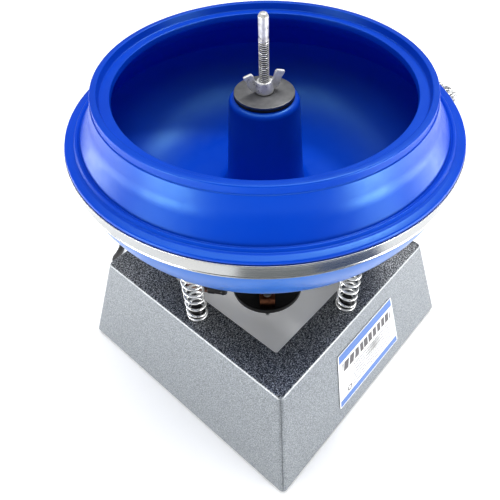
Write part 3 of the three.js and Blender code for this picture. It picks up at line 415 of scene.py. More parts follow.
def swept(name, path, section):
    """A closed tube: the section's (across, up) points carried along the path, kept level."""
    rings = []
    for i, spot in enumerate(path):
        ahead = path[min(i + 1, len(path) - 1)] - path[max(i - 1, 0)]
        ahead.normalize()
        across = ahead.cross(Vector((0, 0, 1)))
        if across.length < 1e-4:
            across = Vector((1, 0, 0))
        across.normalize()
        up = across.cross(ahead)
        rings.append([spot + across * a + up * b for a, b in section])
    return piece(name, *lofted(rings, closed=False), sharp=60)


def circle(radius, sides):
    """A round section for a swept tube."""
    return [polar(radius, TURN * k / sides).xy for k in range(sides)]


# ---- Node tools ---------------------------------------------------------------------------------
class Number:
    """A node's output that can be written into a formula; each step of the formula is one math node."""

    def __init__(self, socket):
        self.socket = socket

    def do(self, operation, *others):
        return calc(operation, self, *others)

    def __add__(self, other):
        return self.do("ADD", other)

    def __sub__(self, other):
        return self.do("SUBTRACT", other)

    def __mul__(self, other):
        return self.do("MULTIPLY", other)

    def __truediv__(self, other):
        return self.do("DIVIDE", other)

    def __gt__(self, other):
        return self.do("GREATER_THAN", other)

    def __lt__(self, other):
        return self.do("LESS_THAN", other)


def node(tree, kind, inputs=None, output=0, **settings):
    """One output of a new shader or geometry node; an input is a plain value or another output."""
    made = tree.nodes.new(kind)
    for key, value in settings.items():
        setattr(made, key, value)
    for key, value in (inputs or {}).items():
        give(made.inputs[key], value)
    return Number(made.outputs[output])


def give(socket, value):
    """Links an output to a socket, or sets the socket to a plain value."""
    if isinstance(value, Number):
        socket.id_data.links.new(value.socket, socket)
    else:
        socket.default_value = value


def calc(operation, *values):
    """One math node, in the tree that its linked inputs are in."""
    tree = next(value.socket.id_data for value in values if isinstance(value, Number))
    return node(tree, "ShaderNodeMath", dict(enumerate(values)), operation=operation)


def remap(value, low, high, to_low=0.0, to_high=1.0):
    return node(value.socket.id_data, "ShaderNodeMapRange", {
        "Value": value, "From Min": low, "From Max": high, "To Min": to_low, "To Max": to_high})


def noise(vector, scale, detail, roughness=0.5, output=0):
    return node(vector.socket.id_data, "ShaderNodeTexNoise", {
        "Vector": vector, "Scale": scale, "Detail": detail, "Roughness": roughness}, output)


def vector_math(operation, *values, output=0):
    return node(values[0].socket.id_data, "ShaderNodeVectorMath", dict(enumerate(values)), output,
                operation=operation)


def object_spot(tree):
    return node(tree, "ShaderNodeTexCoord", output="Object")


def split(vector):
    """The three numbers of a vector."""
    made = vector.socket.id_data.nodes.new("ShaderNodeSeparateXYZ")
    give(made.inputs[0], vector)
    return [Number(part) for part in made.outputs]


def vector_of(*numbers):
    """A vector of up to three numbers; None leaves a part at zero."""
    tree = next(number.socket.id_data for number in numbers if number)
    return node(tree, "ShaderNodeCombineXYZ", {i: number for i, number in enumerate(numbers) if number})


SOCKET_OF = {float: "NodeSocketFloat", int: "NodeSocketInt", tuple: "NodeSocketVector"}


def new_group(name, kind, inputs, outputs):
    """An empty node group, its named inputs as {label: default or socket type}, and its end's sockets."""
    tree = bpy.data.node_groups.new(name, kind)
    for label, value in inputs.items():
        if isinstance(value, str):
            tree.interface.new_socket(label, in_out="INPUT", socket_type=value)
        else:
            socket = tree.interface.new_socket(label, in_out="INPUT", socket_type=SOCKET_OF[type(value)])
            socket.default_value = value
    for label, socket_type in outputs.items():
        tree.interface.new_socket(label, in_out="OUTPUT", socket_type=socket_type)
    given = {socket.name: Number(socket) for socket in tree.nodes.new("NodeGroupInput").outputs}
    return tree, given, tree.nodes.new("NodeGroupOutput").inputs


# ---- Shared shader effects ----------------------------------------------------------------------
def effect(name, inputs, *outputs):
    """An empty shader group with named number inputs and number outputs."""
    return new_group(name, "ShaderNodeTree", inputs, {label: "NodeSocketFloat" for label in outputs})


def cloudy_effect():
    """Slow blotches: handling, moulding and light stains."""
    tree, given, out = effect("cloudy", {"Scale": 20.0, "Low": 0.35, "High": 0.65}, "Mask")
    blotch = noise(object_spot(tree), given["Scale"], 4, 0.55)
    give(out["Mask"], remap(blotch, given["Low"], given["High"]))
    return tree


def grain_effect():
    """Fine even tooth, such as a moulded or cast skin."""
    tree, given, out = effect("grain", {"Scale": 1500.0}, "Height")
    give(out["Height"], noise(object_spot(tree), given["Scale"], 3, 0.6))
    return tree


def hammer_effect():
    """Hammered enamel: raised pebbles with dark creases between them."""
    tree, given, out = effect("hammer", {"Pebble": 900.0}, "Height", "Crease", "Fleck")
    spot = object_spot(tree)
    sway = noise(spot, given["Pebble"], 1, output="Color")
    where = vector_math("ADD", spot, vector_math("MULTIPLY", sway, (PEBBLE_SWAY,) * 3))
    cells = node(tree, "ShaderNodeTexVoronoi", {
        "Vector": where, "Scale": given["Pebble"], "Randomness": 1.0, "Smoothness": 0.35}, "Distance",
        feature="SMOOTH_F1")
    give(out["Height"], remap(cells, 0.05, 0.75, 1.0, 0.0))
    give(out["Crease"], remap(cells, 0.42, 0.78))
    give(out["Fleck"], remap(noise(where, given["Pebble"], 5, 0.8), 0.36, 0.66))
    return tree


def brushed_effect():
    """Fine lines that run round the upright axis, as on a polished hoop or a turned part."""
    tree, given, out = effect("brushed", {"Lines": 9000.0, "Round": 3.0}, "Line")
    x, y, z = split(object_spot(tree))
    radius = (x * x + y * y).do("SQRT")
    angle = y.do("ARCTAN2", x)
    where = vector_of(angle.do("COSINE") * given["Round"], angle.do("SINE") * given["Round"],
                      (z + radius) * given["Lines"])
    give(out["Line"], noise(where, 1.0, 4, 0.7))
    return tree


def scratch_effect():
    """Sparse long scratches in two directions."""
    tree, given, out = effect("scratches", {"Scale": 60.0, "Amount": 0.6}, "Mask")
    spot = object_spot(tree)
    layers = []
    for turn in ((0.3, 0.9, 0.4), (1.1, 0.2, 2.0)):
        laid = node(tree, "ShaderNodeMapping", {
            "Vector": spot, "Rotation": turn, "Scale": (1.0, 24.0, 9.0)})
        layers.append(noise(laid, given["Scale"], 2, 0.4) > given["Amount"])
    give(out["Mask"], calc("MAXIMUM", *layers))
    return tree


EFFECTS = {
    "cloudy": cloudy_effect(), "grain": grain_effect(), "hammer": hammer_effect(),
    "brushed": brushed_effect(), "scratches": scratch_effect(),
}


MATERIALS = {}


class Finish:
    """A material being built: its tree, its Principled shader and short calls for the effects."""

    def __init__(self, name, color, roughness, metallic=0.0, **sockets):
        self.material = MATERIALS[name] = bpy.data.materials.new(name)
        self.material.use_nodes = True
        self.tree = self.material.node_tree
        self.shader = self.tree.nodes["Principled BSDF"]
        self.set("Base Color", (*color, 1))
        self.set("Roughness", roughness)
        self.set("Metallic", metallic)
        for key, value in sockets.items():
            self.set(key.replace("_", " "), value)

    def set(self, socket, value):
        give(self.shader.inputs[socket], value)

    def use(self, name, **values):
        """A shared effect: its one output, or all of them where it has more."""
        made = self.tree.nodes.new("ShaderNodeGroup")
        made.node_tree = EFFECTS[name]
        for key, value in values.items():
            made.inputs[key].default_value = value
        outputs = [Number(socket) for socket in made.outputs]
        return outputs[0] if len(outputs) == 1 else outputs

    def bump(self, height, distance, strength=1.0):
        self.set("Normal", node(self.tree, "ShaderNodeBump", {
            "Height": height, "Strength": strength, "Distance": distance}))

    def tooth(self, scale, distance, strength=0.3):
        self.bump(self.use("grain", Scale=scale), distance, strength)

    def mix(self, share, a, b):
        a, b = [(*tone, 1) if isinstance(tone, tuple) else tone for tone in (a, b)]
        return node(self.tree, "ShaderNodeMix", {0: share, 6: a, 7: b}, 2, data_type="RGBA")

    def paint(self, share, a, b):
        self.set("Base Color", self.mix(share, a, b))

    def roughen(self, value, low, high, to_low, to_high):
        self.set("Roughness", remap(value, low, high, to_low, to_high))


def light(r, g, b):
    """A colour seen as 0 to 255 turned into the linear values that shaders take."""
    def one(c):
        c /= 255
        return c / 12.92 if c <= 0.04045 else ((c + 0.055) / 1.055) ** 2.4
    return one(r), one(g), one(b)


# ---- Materials ----------------------------------------------------------------------------------
def bowl_plastic():
    """Blue polyethylene: even colour, a soft gloss and faint handling scuffs."""
    made = Finish("bowl_plastic", light(0, 58, 184), 0.3, Specular_IOR_Level=0.5,
                  Specular_Tint=(0.24, 0.74, 1.0, 1))
    made.paint(made.use("cloudy", Scale=14, Low=0.3, High=0.7), light(0, 54, 178), light(0, 62, 190))
    fine = made.use("cloudy", Scale=160, Low=0.3, High=0.7)
    scuff = made.use("scratches", Scale=26, Amount=0.69)
    made.set("Roughness", remap(fine, 0, 1, 0.3, 0.38) + scuff * 0.02)
    made.tooth(900, 0.006 * MM)


def pan_enamel():
    made = Finish("pan_enamel", light(14, 88, 176), 0.3, Coat_Weight=0.2, Coat_Roughness=0.12,
                  Specular_Tint=(0.4, 0.85, 1.0, 1))
    made.paint(made.use("cloudy", Scale=30, Low=0.3, High=0.7), light(12, 84, 172), light(18, 92, 182))
    made.roughen(made.use("cloudy", Scale=60), 0, 1, 0.28, 0.36)
    made.tooth(1300, 0.005 * MM)


def hammertone():
    """Hammered grey enamel; upward deck faces are painted darker as shade from the pan, with near-black
    creases and bright flecks as painted glints, and the deck's fold has a pale line that is partly wear and
    partly a painted highlight.
    """
    made = Finish("base_hammertone", light(140, 146, 150), 0.42, 0.35)
    height, crease, fleck = made.use("hammer", Pebble=1150)
    # upward faces get a painted shaded copy of the enamel: dark ground and creases as painted shade, bright
    # flecks as painted glints
    flat = split(node(made.tree, "ShaderNodeNewGeometry", output="True Normal"))[2] > 0.9
    sides = made.mix(fleck, light(98, 104, 109), light(178, 183, 187))
    sides = made.mix(crease * 0.5, sides, light(66, 70, 76))
    deck = made.mix(remap(fleck, 0.4, 0.85), light(34, 38, 46), light(232, 235, 236))
    deck = made.mix(crease, deck, light(26, 29, 34))
    enamel = made.mix(flat, sides, deck)
    # a pale line along the deck's fold: partly worn enamel, partly a painted highlight
    x, y, z = split(object_spot(made.tree))
    off_fold = (calc("MAXIMUM", x.do("ABSOLUTE"), y.do("ABSOLUTE")) - BASE_HALF_TOP).do("ABSOLUTE")
    near = remap(off_fold, 0.1 * MM, 0.7 * MM, 1.0, 0.0)
    fold_wear_and_highlight = near * (z > deck_z - 1.4 * MM) * remap(fleck, 0, 1, 0.2, 0.9)
    made.paint(fold_wear_and_highlight, enamel, light(226, 229, 230))
    made.roughen(fleck, 0, 1, 0.5, 0.3)
    made.bump(height, 0.14 * MM, 0.8)


def stainless():
    made = Finish("band_stainless", light(168, 170, 170), 0.2, 1.0)
    line = made.use("brushed", Lines=14000, Round=2.2)
    made.roughen(line, 0.3, 0.7, 0.14, 0.3)
    plain = made.mix(line, light(158, 162, 165), light(190, 193, 195))
    made.paint(made.use("cloudy", Scale=11, Low=0.35, High=0.65), plain, light(188, 187, 183))
    made.bump(line, 0.01 * MM, 0.3)


def plated(name, dark, bright, low=0.28, high=0.42, grain=2200, shine=0.88):
    """Bright plated steel with faint clouding and fine tooth."""
    made = Finish(name, bright, 0.25, shine)
    cloud = made.use("cloudy", Scale=260, Low=0.35, High=0.65)
    scuff = made.use("scratches", Scale=120, Amount=0.66)
    made.paint(cloud, dark, bright)
    made.set("Roughness", remap(cloud, 0, 1, low, high) + scuff * 0.12)
    made.tooth(grain, 0.006 * MM)


def washer_steel():
    made = Finish("washer_steel", light(124, 124, 126), 0.4, 0.9)
    line = made.use("brushed", Lines=5000, Round=2)
    made.paint(made.use("cloudy", Scale=90), light(106, 106, 108), light(136, 136, 137))
    made.roughen(line, 0.3, 0.7, 0.34, 0.5)
    made.bump(line, 0.02 * MM, 0.4)


def threaded_zinc():
    """Plated steel whose thread grooves, nearer the upright axis than its crests, are painted dark as
    shade.
    """
    made = Finish("threaded_zinc", light(234, 235, 234), 0.3, 0.6)
    x, y, z = split(object_spot(made.tree))
    radius = vector_math("LENGTH", vector_of(x, y), output="Value")
    unshaded_crest = remap(radius, STUD_RADIUS - 0.42 * MM, STUD_RADIUS - 0.2 * MM)
    cloud = made.use("cloudy", Scale=300)
    bright = made.mix(cloud, light(214, 212, 206), light(242, 242, 240))
    # the grooves take a dark colour as painted shade; the crests and the bare tip keep the plated colour
    made.paint(unshaded_crest.do("MAXIMUM", z > stud_tip - STUD_BARE_TIP), light(58, 54, 52), bright)
    made.roughen(cloud, 0, 1, 0.26, 0.4)
    made.tooth(2000, 0.006 * MM)


def black(name, tint, rough, grain, depth, lift):
    """Rubber, jacket or moulded black: a dusty bloom over a fine tooth."""
    made = Finish(name, tint, rough)
    dust = made.use("cloudy", Scale=110, Low=0.45, High=0.8)
    made.paint(dust, tint, tuple(c + lift for c in tint))
    made.roughen(dust, 0, 1, rough, min(rough + 0.14, 1.0))
    made.tooth(grain, depth, 0.6)


def laminated():
    """The stack's sheet edges, with a dark gap between each sheet and the next."""
    made = Finish("lamination_steel", light(96, 98, 100), 0.45, 0.85)
    sheet = (split(object_spot(made.tree))[2] * (1 / LAMINATION)).do("FRACT")
    metal = made.mix(made.use("cloudy", Scale=140), light(84, 84, 86), light(128, 126, 122))
    made.paint(sheet < 0.22, metal, light(34, 32, 32))
    made.bump(sheet, 0.1 * MM, 0.4)


def copper():
    made = Finish("copper", light(150, 84, 52), 0.35, 0.9)
    stain = made.use("cloudy", Scale=240, Low=0.3, High=0.7)
    made.paint(stain, light(112, 60, 40), light(190, 122, 86))
    made.roughen(stain, 0, 1, 0.42, 0.26)
    made.tooth(1800, 0.04 * MM, 0.5)


def label_face():
    """The label's printed face: two blue stripes, a white field, a slanted bar heading and thin rules."""
    made = Finish("label_face", light(238, 240, 242), 0.32, Coat_Weight=0.35, Coat_Roughness=0.15)
    x, y, _ = split(node(made.tree, "ShaderNodeTexCoord", output="UV"))

    def between(value, low, high):
        return (value > low) * (value < high)

    stripes = between(y, 0.84, 1.01).do("MAXIMUM", between(y, -0.01, 0.13))
    # the heading: heavy plain blocks of uneven width, leaning to the right
    lean = x + y * -0.10
    gap = remap((lean * 2.9).do("FRACT"), 0.0, 1.0, 0.14, 0.34)
    solid = (lean * 12.0).do("FRACT") > gap
    heading = solid * between(y, 0.63, 0.79) * between(x, 0.06, 0.94)
    # the small print: broken rules, on rows that divide the label's height by seventeen
    row = y * 17.0
    words = noise(vector_of(x * 60.0, row.do("FLOOR")), 1.0, 2)
    ink = between(row.do("FRACT"), 0.25, 0.62) * (words > 0.44)
    lines = ink * between(y, 0.17, 0.58) * between(x, 0.22, 0.88)
    # a small ring at the lower left, and a shaded panel in the middle
    dx, dy = (x - 0.16) * 1.36, y - 0.22
    mark = between((dx * dx + dy * dy).do("SQRT"), 0.028, 0.05)
    fade = remap((x - 0.57).do("ABSOLUTE"), 0.0, 0.17, 0.85, 0.1)
    panel = between(x, 0.40, 0.74) * between(y, 0.40, 0.56) * fade
    edge = (x < 0.012).do("MAXIMUM", x > 0.988).do("MAXIMUM", (y < 0.016).do("MAXIMUM", y > 0.984))
    face = made.mix(stripes, light(226, 226, 224), light(44, 100, 178))
    for share, tone in ((heading, light(44, 34, 38)), (lines, light(120, 124, 130)),
                        (mark, light(70, 66, 70)), (panel, light(110, 108, 106)),
                        (edge, light(246, 247, 248))):
        face = made.mix(share, face, tone)
    made.paint(made.use("cloudy", Scale=60, Low=0.5, High=0.9) * 0.12, face, light(150, 152, 155))
    made.tooth(500, 0.03 * MM, 0.4)


bowl_plastic()
pan_enamel()
hammertone()
stainless()
plated("spring_steel", light(216, 217, 216), light(246, 246, 245), 0.24, 0.36, shine=0.8)
plated("zinc_plate", light(196, 198, 198), light(234, 235, 234))
plated("bright_zinc", light(216, 216, 214), light(246, 246, 244), 0.26, 0.4, shine=0.55)
threaded_zinc()
washer_steel()
plated("plate_steel", light(128, 131, 134), light(168, 170, 172), 0.3, 0.45, 900)
plated("black_steel", light(22, 22, 24), light(48, 48, 50), 0.35, 0.5)
black("black_rubber", light(20, 20, 20), 0.72, 700, 0.08 * MM, 0.010)
black("cord_jacket", light(34, 33, 33), 0.5, 1400, 0.03 * MM, 0.012)
black("black_plastic", light(16, 16, 18), 0.34, 1500, 0.02 * MM, 0.006)
laminated()
copper()
plated("bronze", light(140, 100, 52), light(196, 150, 86), 0.22, 0.4)
label_face()
black("wire_brown", light(88, 52, 34), 0.45, 1600, 0.02 * MM, 0.03)


def finished(obj, material, body, *nodes):
    """Gives a piece its material, its body and the CAD nodes it stands for."""
    obj.data.materials.clear()
    obj.data.materials.append(MATERIALS[material])
    if body:
        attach(obj, body)
    if nodes:
        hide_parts(*nodes)
    return obj


# ---- Geometry Nodes tools -----------------------------------------------------------------------
def new_tree(name, inputs):
    """A geometry tree with these inputs and a material, and a geometry output."""
    return new_group(name, "GeometryNodeTree", {**inputs, "Material": "NodeSocketMaterial"},
                     {"Geometry": "NodeSocketGeometry"})


def finish_tree(tree, given, out, geometry):
    real = node(tree, "GeometryNodeRealizeInstances", {"Geometry": geometry})
    give(out["Geometry"], node(tree, "GeometryNodeSetMaterial", {
        "Geometry": real, "Material": given["Material"]}))
    return tree


def grown(name, tree, **values):
    """The plain mesh that a geometry tree makes from these input values."""
    seed = placed(name + "_seed", bpy.data.meshes.new(name + "_seed"))
    modifier = seed.modifiers.new("grow", "NODES")
    modifier.node_group = tree
    for item in tree.interface.items_tree:
        if item.in_out == "INPUT" and item.name in values:
            modifier[item.identifier] = values[item.name]
    seen = seed.evaluated_get(bpy.context.evaluated_depsgraph_get())
    mesh = bpy.data.meshes.new_from_object(seen)
    mesh.name = name
    bpy.data.objects.remove(seed)
    obj = placed(name, mesh)
    smooth(obj, 50)
    return obj


def ring_tree():
    """Copies of one object round a circle, each turned to face outwards."""
    tree, given, out = new_tree("ring_of_copies", {
        "Count": 4, "Radius": 0.1, "Phase": 0.0, "Height": 0.0, "Piece": "NodeSocketObject"})
    step = calc("DIVIDE", TURN, given["Count"])
    angle = calc("MULTIPLY_ADD", node(tree, "GeometryNodeInputIndex"), step, given["Phase"])
    place = vector_of(angle.do("COSINE") * given["Radius"], angle.do("SINE") * given["Radius"],
                      given["Height"])
    spots = node(tree, "GeometryNodePoints", {"Count": given["Count"]})
    copies = node(tree, "GeometryNodeInstanceOnPoints", {
        "Points": node(tree, "GeometryNodeSetPosition", {"Geometry": spots, "Position": place}),
        "Instance": node(tree, "GeometryNodeObjectInfo", {"Object": given["Piece"]}, "Geometry"),
        "Rotation": vector_of(None, None, angle)})
    return finish_tree(tree, given, out, copies)


def round_wire(tree, line, sides, radius):
    """A curve with a round section and closed ends."""
    section = node(tree, "GeometryNodeCurvePrimitiveCircle", {"Resolution": sides, "Radius": radius})
    return node(tree, "GeometryNodeCurveToMesh", {
        "Curve": line, "Profile Curve": section, "Fill Caps": True})


def spiral(tree, turns, radius, height):
    return node(tree, "GeometryNodeCurveSpiral", {
        "Resolution": 28, "Rotations": turns, "Start Radius": radius, "End Radius": radius,
        "Height": height})


def coil_tree():
    """A round wire wound as a compression spring: one closed turn at each end, open ones between."""
    tree, given, out = new_tree("compression_spring", {
        "Turns": 9.0, "Radius": 0.007, "Wire": 0.001, "Low": 0.0, "High": 0.06, "Centre": (0, 0, 0)})
    flat = spiral(tree, given["Turns"], given["Radius"], 0.0)
    turns = node(tree, "GeometryNodeSplineParameter", output="Factor") * given["Turns"]
    closed = given["Wire"] * CLOSED_TURN_PITCH
    open_turns = given["Turns"] - 2.0
    pitch = (given["High"] - given["Low"] - given["Wire"] * 2.0 - closed * 2.0) / open_turns
    first = turns.do("MINIMUM", 1.0) * closed
    middle = (turns - 1.0).do("MAXIMUM", 0.0).do("MINIMUM", open_turns) * pitch
    last = (turns - (given["Turns"] - 1.0)).do("MAXIMUM", 0.0) * closed
    x, y, _ = split(node(tree, "GeometryNodeInputPosition"))
    place = vector_of(x, y, first + middle + last + given["Low"] + given["Wire"])
    line = node(tree, "GeometryNodeSetPosition", {
        "Geometry": flat, "Position": vector_math("ADD", place, given["Centre"])})
    return finish_tree(tree, given, out, round_wire(tree, line, 12, given["Wire"]))


def thread_tree():
    """A screw thread: a sharp ridge wound round a core."""
    tree, given, out = new_tree("screw_thread", {
        "Turns": 20.0, "Radius": 0.003, "Depth": 0.0005, "Pitch": 0.00127, "Low": 0.0})
    half = given["Depth"] * 0.55
    rising = spiral(tree, given["Turns"], given["Radius"] - half, given["Turns"] * given["Pitch"])
    line = node(tree, "GeometryNodeSetPosition", {
        "Geometry": rising, "Offset": vector_of(None, None, given["Low"])})
    return finish_tree(tree, given, out, round_wire(tree, line, 6, half))


RING = ring_tree()
COIL_SPRING = coil_tree()
THREAD = thread_tree()


def four_of(name, source, radius, height, material, body, stem, places):
    """Four copies of a piece, at the sides or at the corners, that stand for the CAD nodes stem_place."""
    phase = TURN / 8 if places is CORNERS else 0.0
    made = ring_of(name, source, 4, radius, phase, height, material)
    finished(made, material, body, *[f"{stem}_{place}" for place in places])


def ring_of(name, source, count, radius, phase, height, material):
    """Copies of a piece round the upright axis, as one mesh; the source piece is used up."""
    made = grown(name, RING, Count=count, Radius=radius, Phase=phase, Height=height, Piece=source,
                 Material=MATERIALS[material])
    bpy.data.objects.remove(source)
    return made


# ---- The mains lead -----------------------------------------------------------------------------
# its route on the table, in millimetres: out of the back wall to the coil, and from the coil to the plug
LEAD_ROUTE = [
    (-60, 139.2, 15.9), (-60, 149, 18), (-58, 158.5, 17.6), (-53, 166.5, 13.4), (-45.5, 173.5, 7.8),
    (-36, 181, 4.2), (-26, 190.5, 3.3), (-13, 201.5, 3.3), (4, 211.5, 3.3), (26, 219, 3.3),
    (50, 221.5, 3.3), (76, 219, 3.3), (102, 211.5, 3.3), (126, 201.5, 3.3), (147.5, 195.2, 3.3),
]
TAIL_ROUTE = [
    (197, 194, 8.9), (209, 191, 6.6), (220.5, 184, 4.4), (229, 173.5, 3.4), (233.2, 161.5, 4.4),
    (234, 150, 6.5), (234, 140, 6.8),
]
COIL_CENTRE = (172, 152)
COIL_MEAN_RADIUS = 36
COIL_LANE = 6.5
COIL_START_HEIGHT = 3.3
COIL_TURNS = 6
COIL_STEPS = 24
LANE_CHANGE = 0.2


def coil_turns():
    """Three lanes inwards on the table, then three outwards on top of them, wound clockwise."""
    lanes = [1, 0, -1, -1, 0, 1, 1]
    layers = [0, 0, 0, 1, 1, 1, 1]
    spots = []
    for k in range(COIL_TURNS * COIL_STEPS + 1):
        lane, step = divmod(k, COIL_STEPS)
        share = max(0.0, (step / COIL_STEPS - 1 + LANE_CHANGE) / LANE_CHANGE)
        share = share * share * (3 - 2 * share)
        after = min(lane + 1, COIL_TURNS)
        across = lanes[lane] + (lanes[after] - lanes[lane]) * share
        layer = layers[lane] + (layers[after] - layers[lane]) * share
        radius = COIL_MEAN_RADIUS + COIL_LANE * across
        a = TURN / 4 - TURN * k / COIL_STEPS
        spots.append((COIL_CENTRE[0] + radius * math.cos(a), COIL_CENTRE[1] + radius * math.sin(a),
                      COIL_START_HEIGHT + COIL_LANE * layer))
    return spots


def jacket_section(sides=20, groove_depth=0.16, groove_width=0.32):
    """A round twin lead with a groove along its top and its bottom, between the two cores."""
    spots = []
    for k in range(sides):
        a = TURN * k / sides
        radius = CORD_RADIUS * (1 - groove_depth * max(0.0, 1 - abs(math.cos(a)) / groove_width))
        spots.append((radius * math.cos(a), radius * math.sin(a)))
    return spots


def mains_lead():
    points = LEAD_ROUTE + coil_turns() + TAIL_ROUTE
    path = catmull([Vector(p) * MM for p in points], 2.4 * MM)
    lead = swept("mains_lead", path, jacket_section())
    length = sum((b - a).length for a, b in zip(path, path[1:]))
    return lead, path, length


def strain_relief():
    """A ribbed sleeve that tapers along the lead, seated in the back wall."""
    along = Vector((0, math.cos(wall_tilt), math.sin(wall_tilt)))
    foot = Vector(LEAD_ROUTE[0]) * MM - along * 24 * MM
    outline = [(0, 0, 0), (8, 0, 0.6), (8, 3, 1.0), (5.8, 4.2, 0.4)]
    for k in range(7):
        z, r = 6.2 + 2.3 * k, 5.5 - 0.16 * k
        outline += [(r, z - 0.5, 0.2), (r, z + 0.6, 0.2), (r - 0.9, z + 1.0, 0.2), (r - 0.9, z + 1.5, 0.2)]
    outline += [(4.1, 22.4, 0.3), (4.1, 23.7, 0.3), (0, 23.7, 0)]
    return turned("strain_relief_sleeve", near(0, 0, *outline), 48, foot, along, steps=2)


# the plug's sections: place along it from its highest y, then width and thickness, all as shares
PLUG_STATIONS = [
    (0.0, 0.20, 0.33), (0.02, 0.33, 0.52), (0.12, 0.36, 0.56), (0.30, 0.48, 0.66), (0.38, 0.70, 0.76),
    (0.46, 0.93, 0.93), (0.55, 0.985, 0.98), (0.80, 0.985, 0.985), (0.965, 0.97, 0.96), (0.995, 0.90, 0.86),
    (1.0, 0.84, 0.78),
]
PLUG_TAIL_END = 0.4


def plug_pieces():
    """A flat two-blade plug: a rounded body with grip ribs and a tapered tail, lying on the table."""
    middle, size = middle_and_size("plug_body")
    end_y = middle.y + size.y / 2
    half_w, half_t = size.x / 2 - 0.1 * MM, size.z / 2 - 0.1 * MM
    rings = []
    for share, wide, thick in PLUG_STATIONS:
        power = 0.8 if share <= PLUG_TAIL_END else 0.42
        ring = []
        for k in range(40):
            c, s = math.cos(TURN * k / 40), math.sin(TURN * k / 40)
            ring.append(Vector((middle.x + math.copysign(abs(c) ** power, c) * half_w * wide,
                                end_y - share * size.y,
                                middle.z + math.copysign(abs(s) ** power, s) * half_t * thick)))
        rings.append(ring)
    parts = [piece("plug_moulding", *lofted(rings, closed=False), sharp=45)]
    for k in range(5):
        y = end_y - size.y * (0.56 + 0.06 * k)
        for side in (-1, 1):
            at = Matrix.Translation((middle.x, y, middle.z + side * (half_t - 0.25 * MM)))
            parts.append(extruded("rib", block(-6, 6, 0.6, 0.6, 0.6), 0.6 * MM, at))
    body = joined("plug_moulding", *parts)
    blades = []
    for side in ("left", "right"):
        middle, size = middle_and_size(f"plug_blade_{side}")
        half_l, half_h, tip = size.y / 2, size.z / 2 - 0.05 * MM, 1.4 * MM
        upright = Matrix.Translation(middle) @ Matrix.Rotation(TURN / 4, 4, "Y")
        outline = [(-half_h, half_l, 0), (-half_h, -half_l, tip), (half_h, -half_l, tip),
                   (half_h, half_l, 0)]
        blades.append(extruded(f"plug_blade_{side}_strip", outline, size.x - 0.1 * MM, upright, 0.2 * MM))
    return body, blades


def cord_tie():
    """A soft strap that hugs the coil's section in one place."""
    inner, outer, low, top, strap = 25.4, 46.05, 0.15, 13.35, 0.9
    at = Matrix.Translation(Vector((*COIL_CENTRE, 0)) * MM) \
        @ Matrix.Rotation(math.radians(200), 4, "Z") @ Matrix.Rotation(TURN / 4, 4, "X")
    outline = near(
        0, 0, (inner - strap, low, 0), (inner, low, 0), (inner, top, 2.0), (outer, top, 2.0),
        (outer, low, 0), (outer + strap, low, 0), (outer + strap, top + strap, 2.6),
        (inner - strap, top + strap, 2.6))
    return extruded("cord_tie_strap", outline, 8.6 * MM, at, 0.25 * MM)


def build_lead():
    lead, path, length = mains_lead()
    finished(lead, "cord_jacket", "base", "mains_cord", "mains_cord_tail", "cord_coil")
    sleeve = finished(strain_relief(), "black_rubber", "base", "strain_relief")
    body, blades = plug_pieces()
    finished(body, "black_plastic", "base", "plug_body")
    for side, blade in zip(("left", "right"), blades):
        finished(blade, "bronze", "base", f"plug_blade_{side}")
    tie = finished(cord_tie(), "black_plastic", "base", "cord_tie")
    print("mains lead length", round(length, 4))


build_lead()


# ---- Base ---------------------------------------------------------------------------------------
def square_ring(half, corner, z, seam):
    """One level of a square tube: rounded corners, with a fine groove down the middle of each."""
    spots = []
    for i in range(4):
        turn = Matrix.Rotation(TURN / 4 * i, 3, "Z")
        for k in range(-4, 5):
            off_middle = math.copysign(0.1, k) if abs(k) == 1 and seam else TURN / 32 * k
            radius = corner - seam if k == 0 else corner
            middle = Vector((half - corner, half - corner, z))
            spots.append(turn @ (middle + polar(radius, TURN / 8 + off_middle)))
    return spots


def base_shell():
    """Folded sheet: bottom lip, sloping walls, rounded deck edge and a square opening."""
    def wall(z, inset=0.0):
        share = (z - foot_z) / (deck_z - foot_z)
        return base_half_low + (BASE_HALF_TOP - base_half_low) * share - inset

    lip = base_half_low - RETURN_WIDTH
    under_deck, on_lip, inset = deck_z - BASE_SHEET, foot_z + BASE_SHEET, 1.03 * BASE_SHEET
    line = filleted([
        (lip, foot_z, 0.3 * MM), (base_half_low, foot_z, 1.6 * MM), (BASE_HALF_TOP, deck_z, 2.2 * MM),
        (OPENING_HALF, deck_z, 0.4 * MM), (OPENING_HALF, under_deck, 0.4 * MM),
        (wall(under_deck, inset), under_deck, 1.0 * MM), (wall(on_lip, inset), on_lip, 0.6 * MM),
        (lip, on_lip, 0.3 * MM),
    ], 5)
    rings = []
    for half, z in line:
        on_wall = abs(half - wall(z)) < 0.7 * MM
        corner = BASE_CORNER if half > OPENING_HALF + 3 * MM else OPENING_CORNER
        if foot_z + 3 * MM < z < deck_z - 2.4 * MM and not on_wall:
            corner = BASE_CORNER - BASE_SHEET
        rings.append(square_ring(half, corner, z, BASE_SEAM if on_wall else 0.0))
    return piece("base_body", *lofted(rings), sharp=40)


def foot():
    return turned("foot", near(
        0, 0, (0, 0, 0), (6.2, 0, 0.6), (7, 1.1, 0.5), (6.9, 2.2, 0.2), (3, 2.2, 0), (3, 4.4, 0),
        (3.9, 5.0, 0.2), (2, 7.0, 0.3), (0, 7.0, 0)), 32)


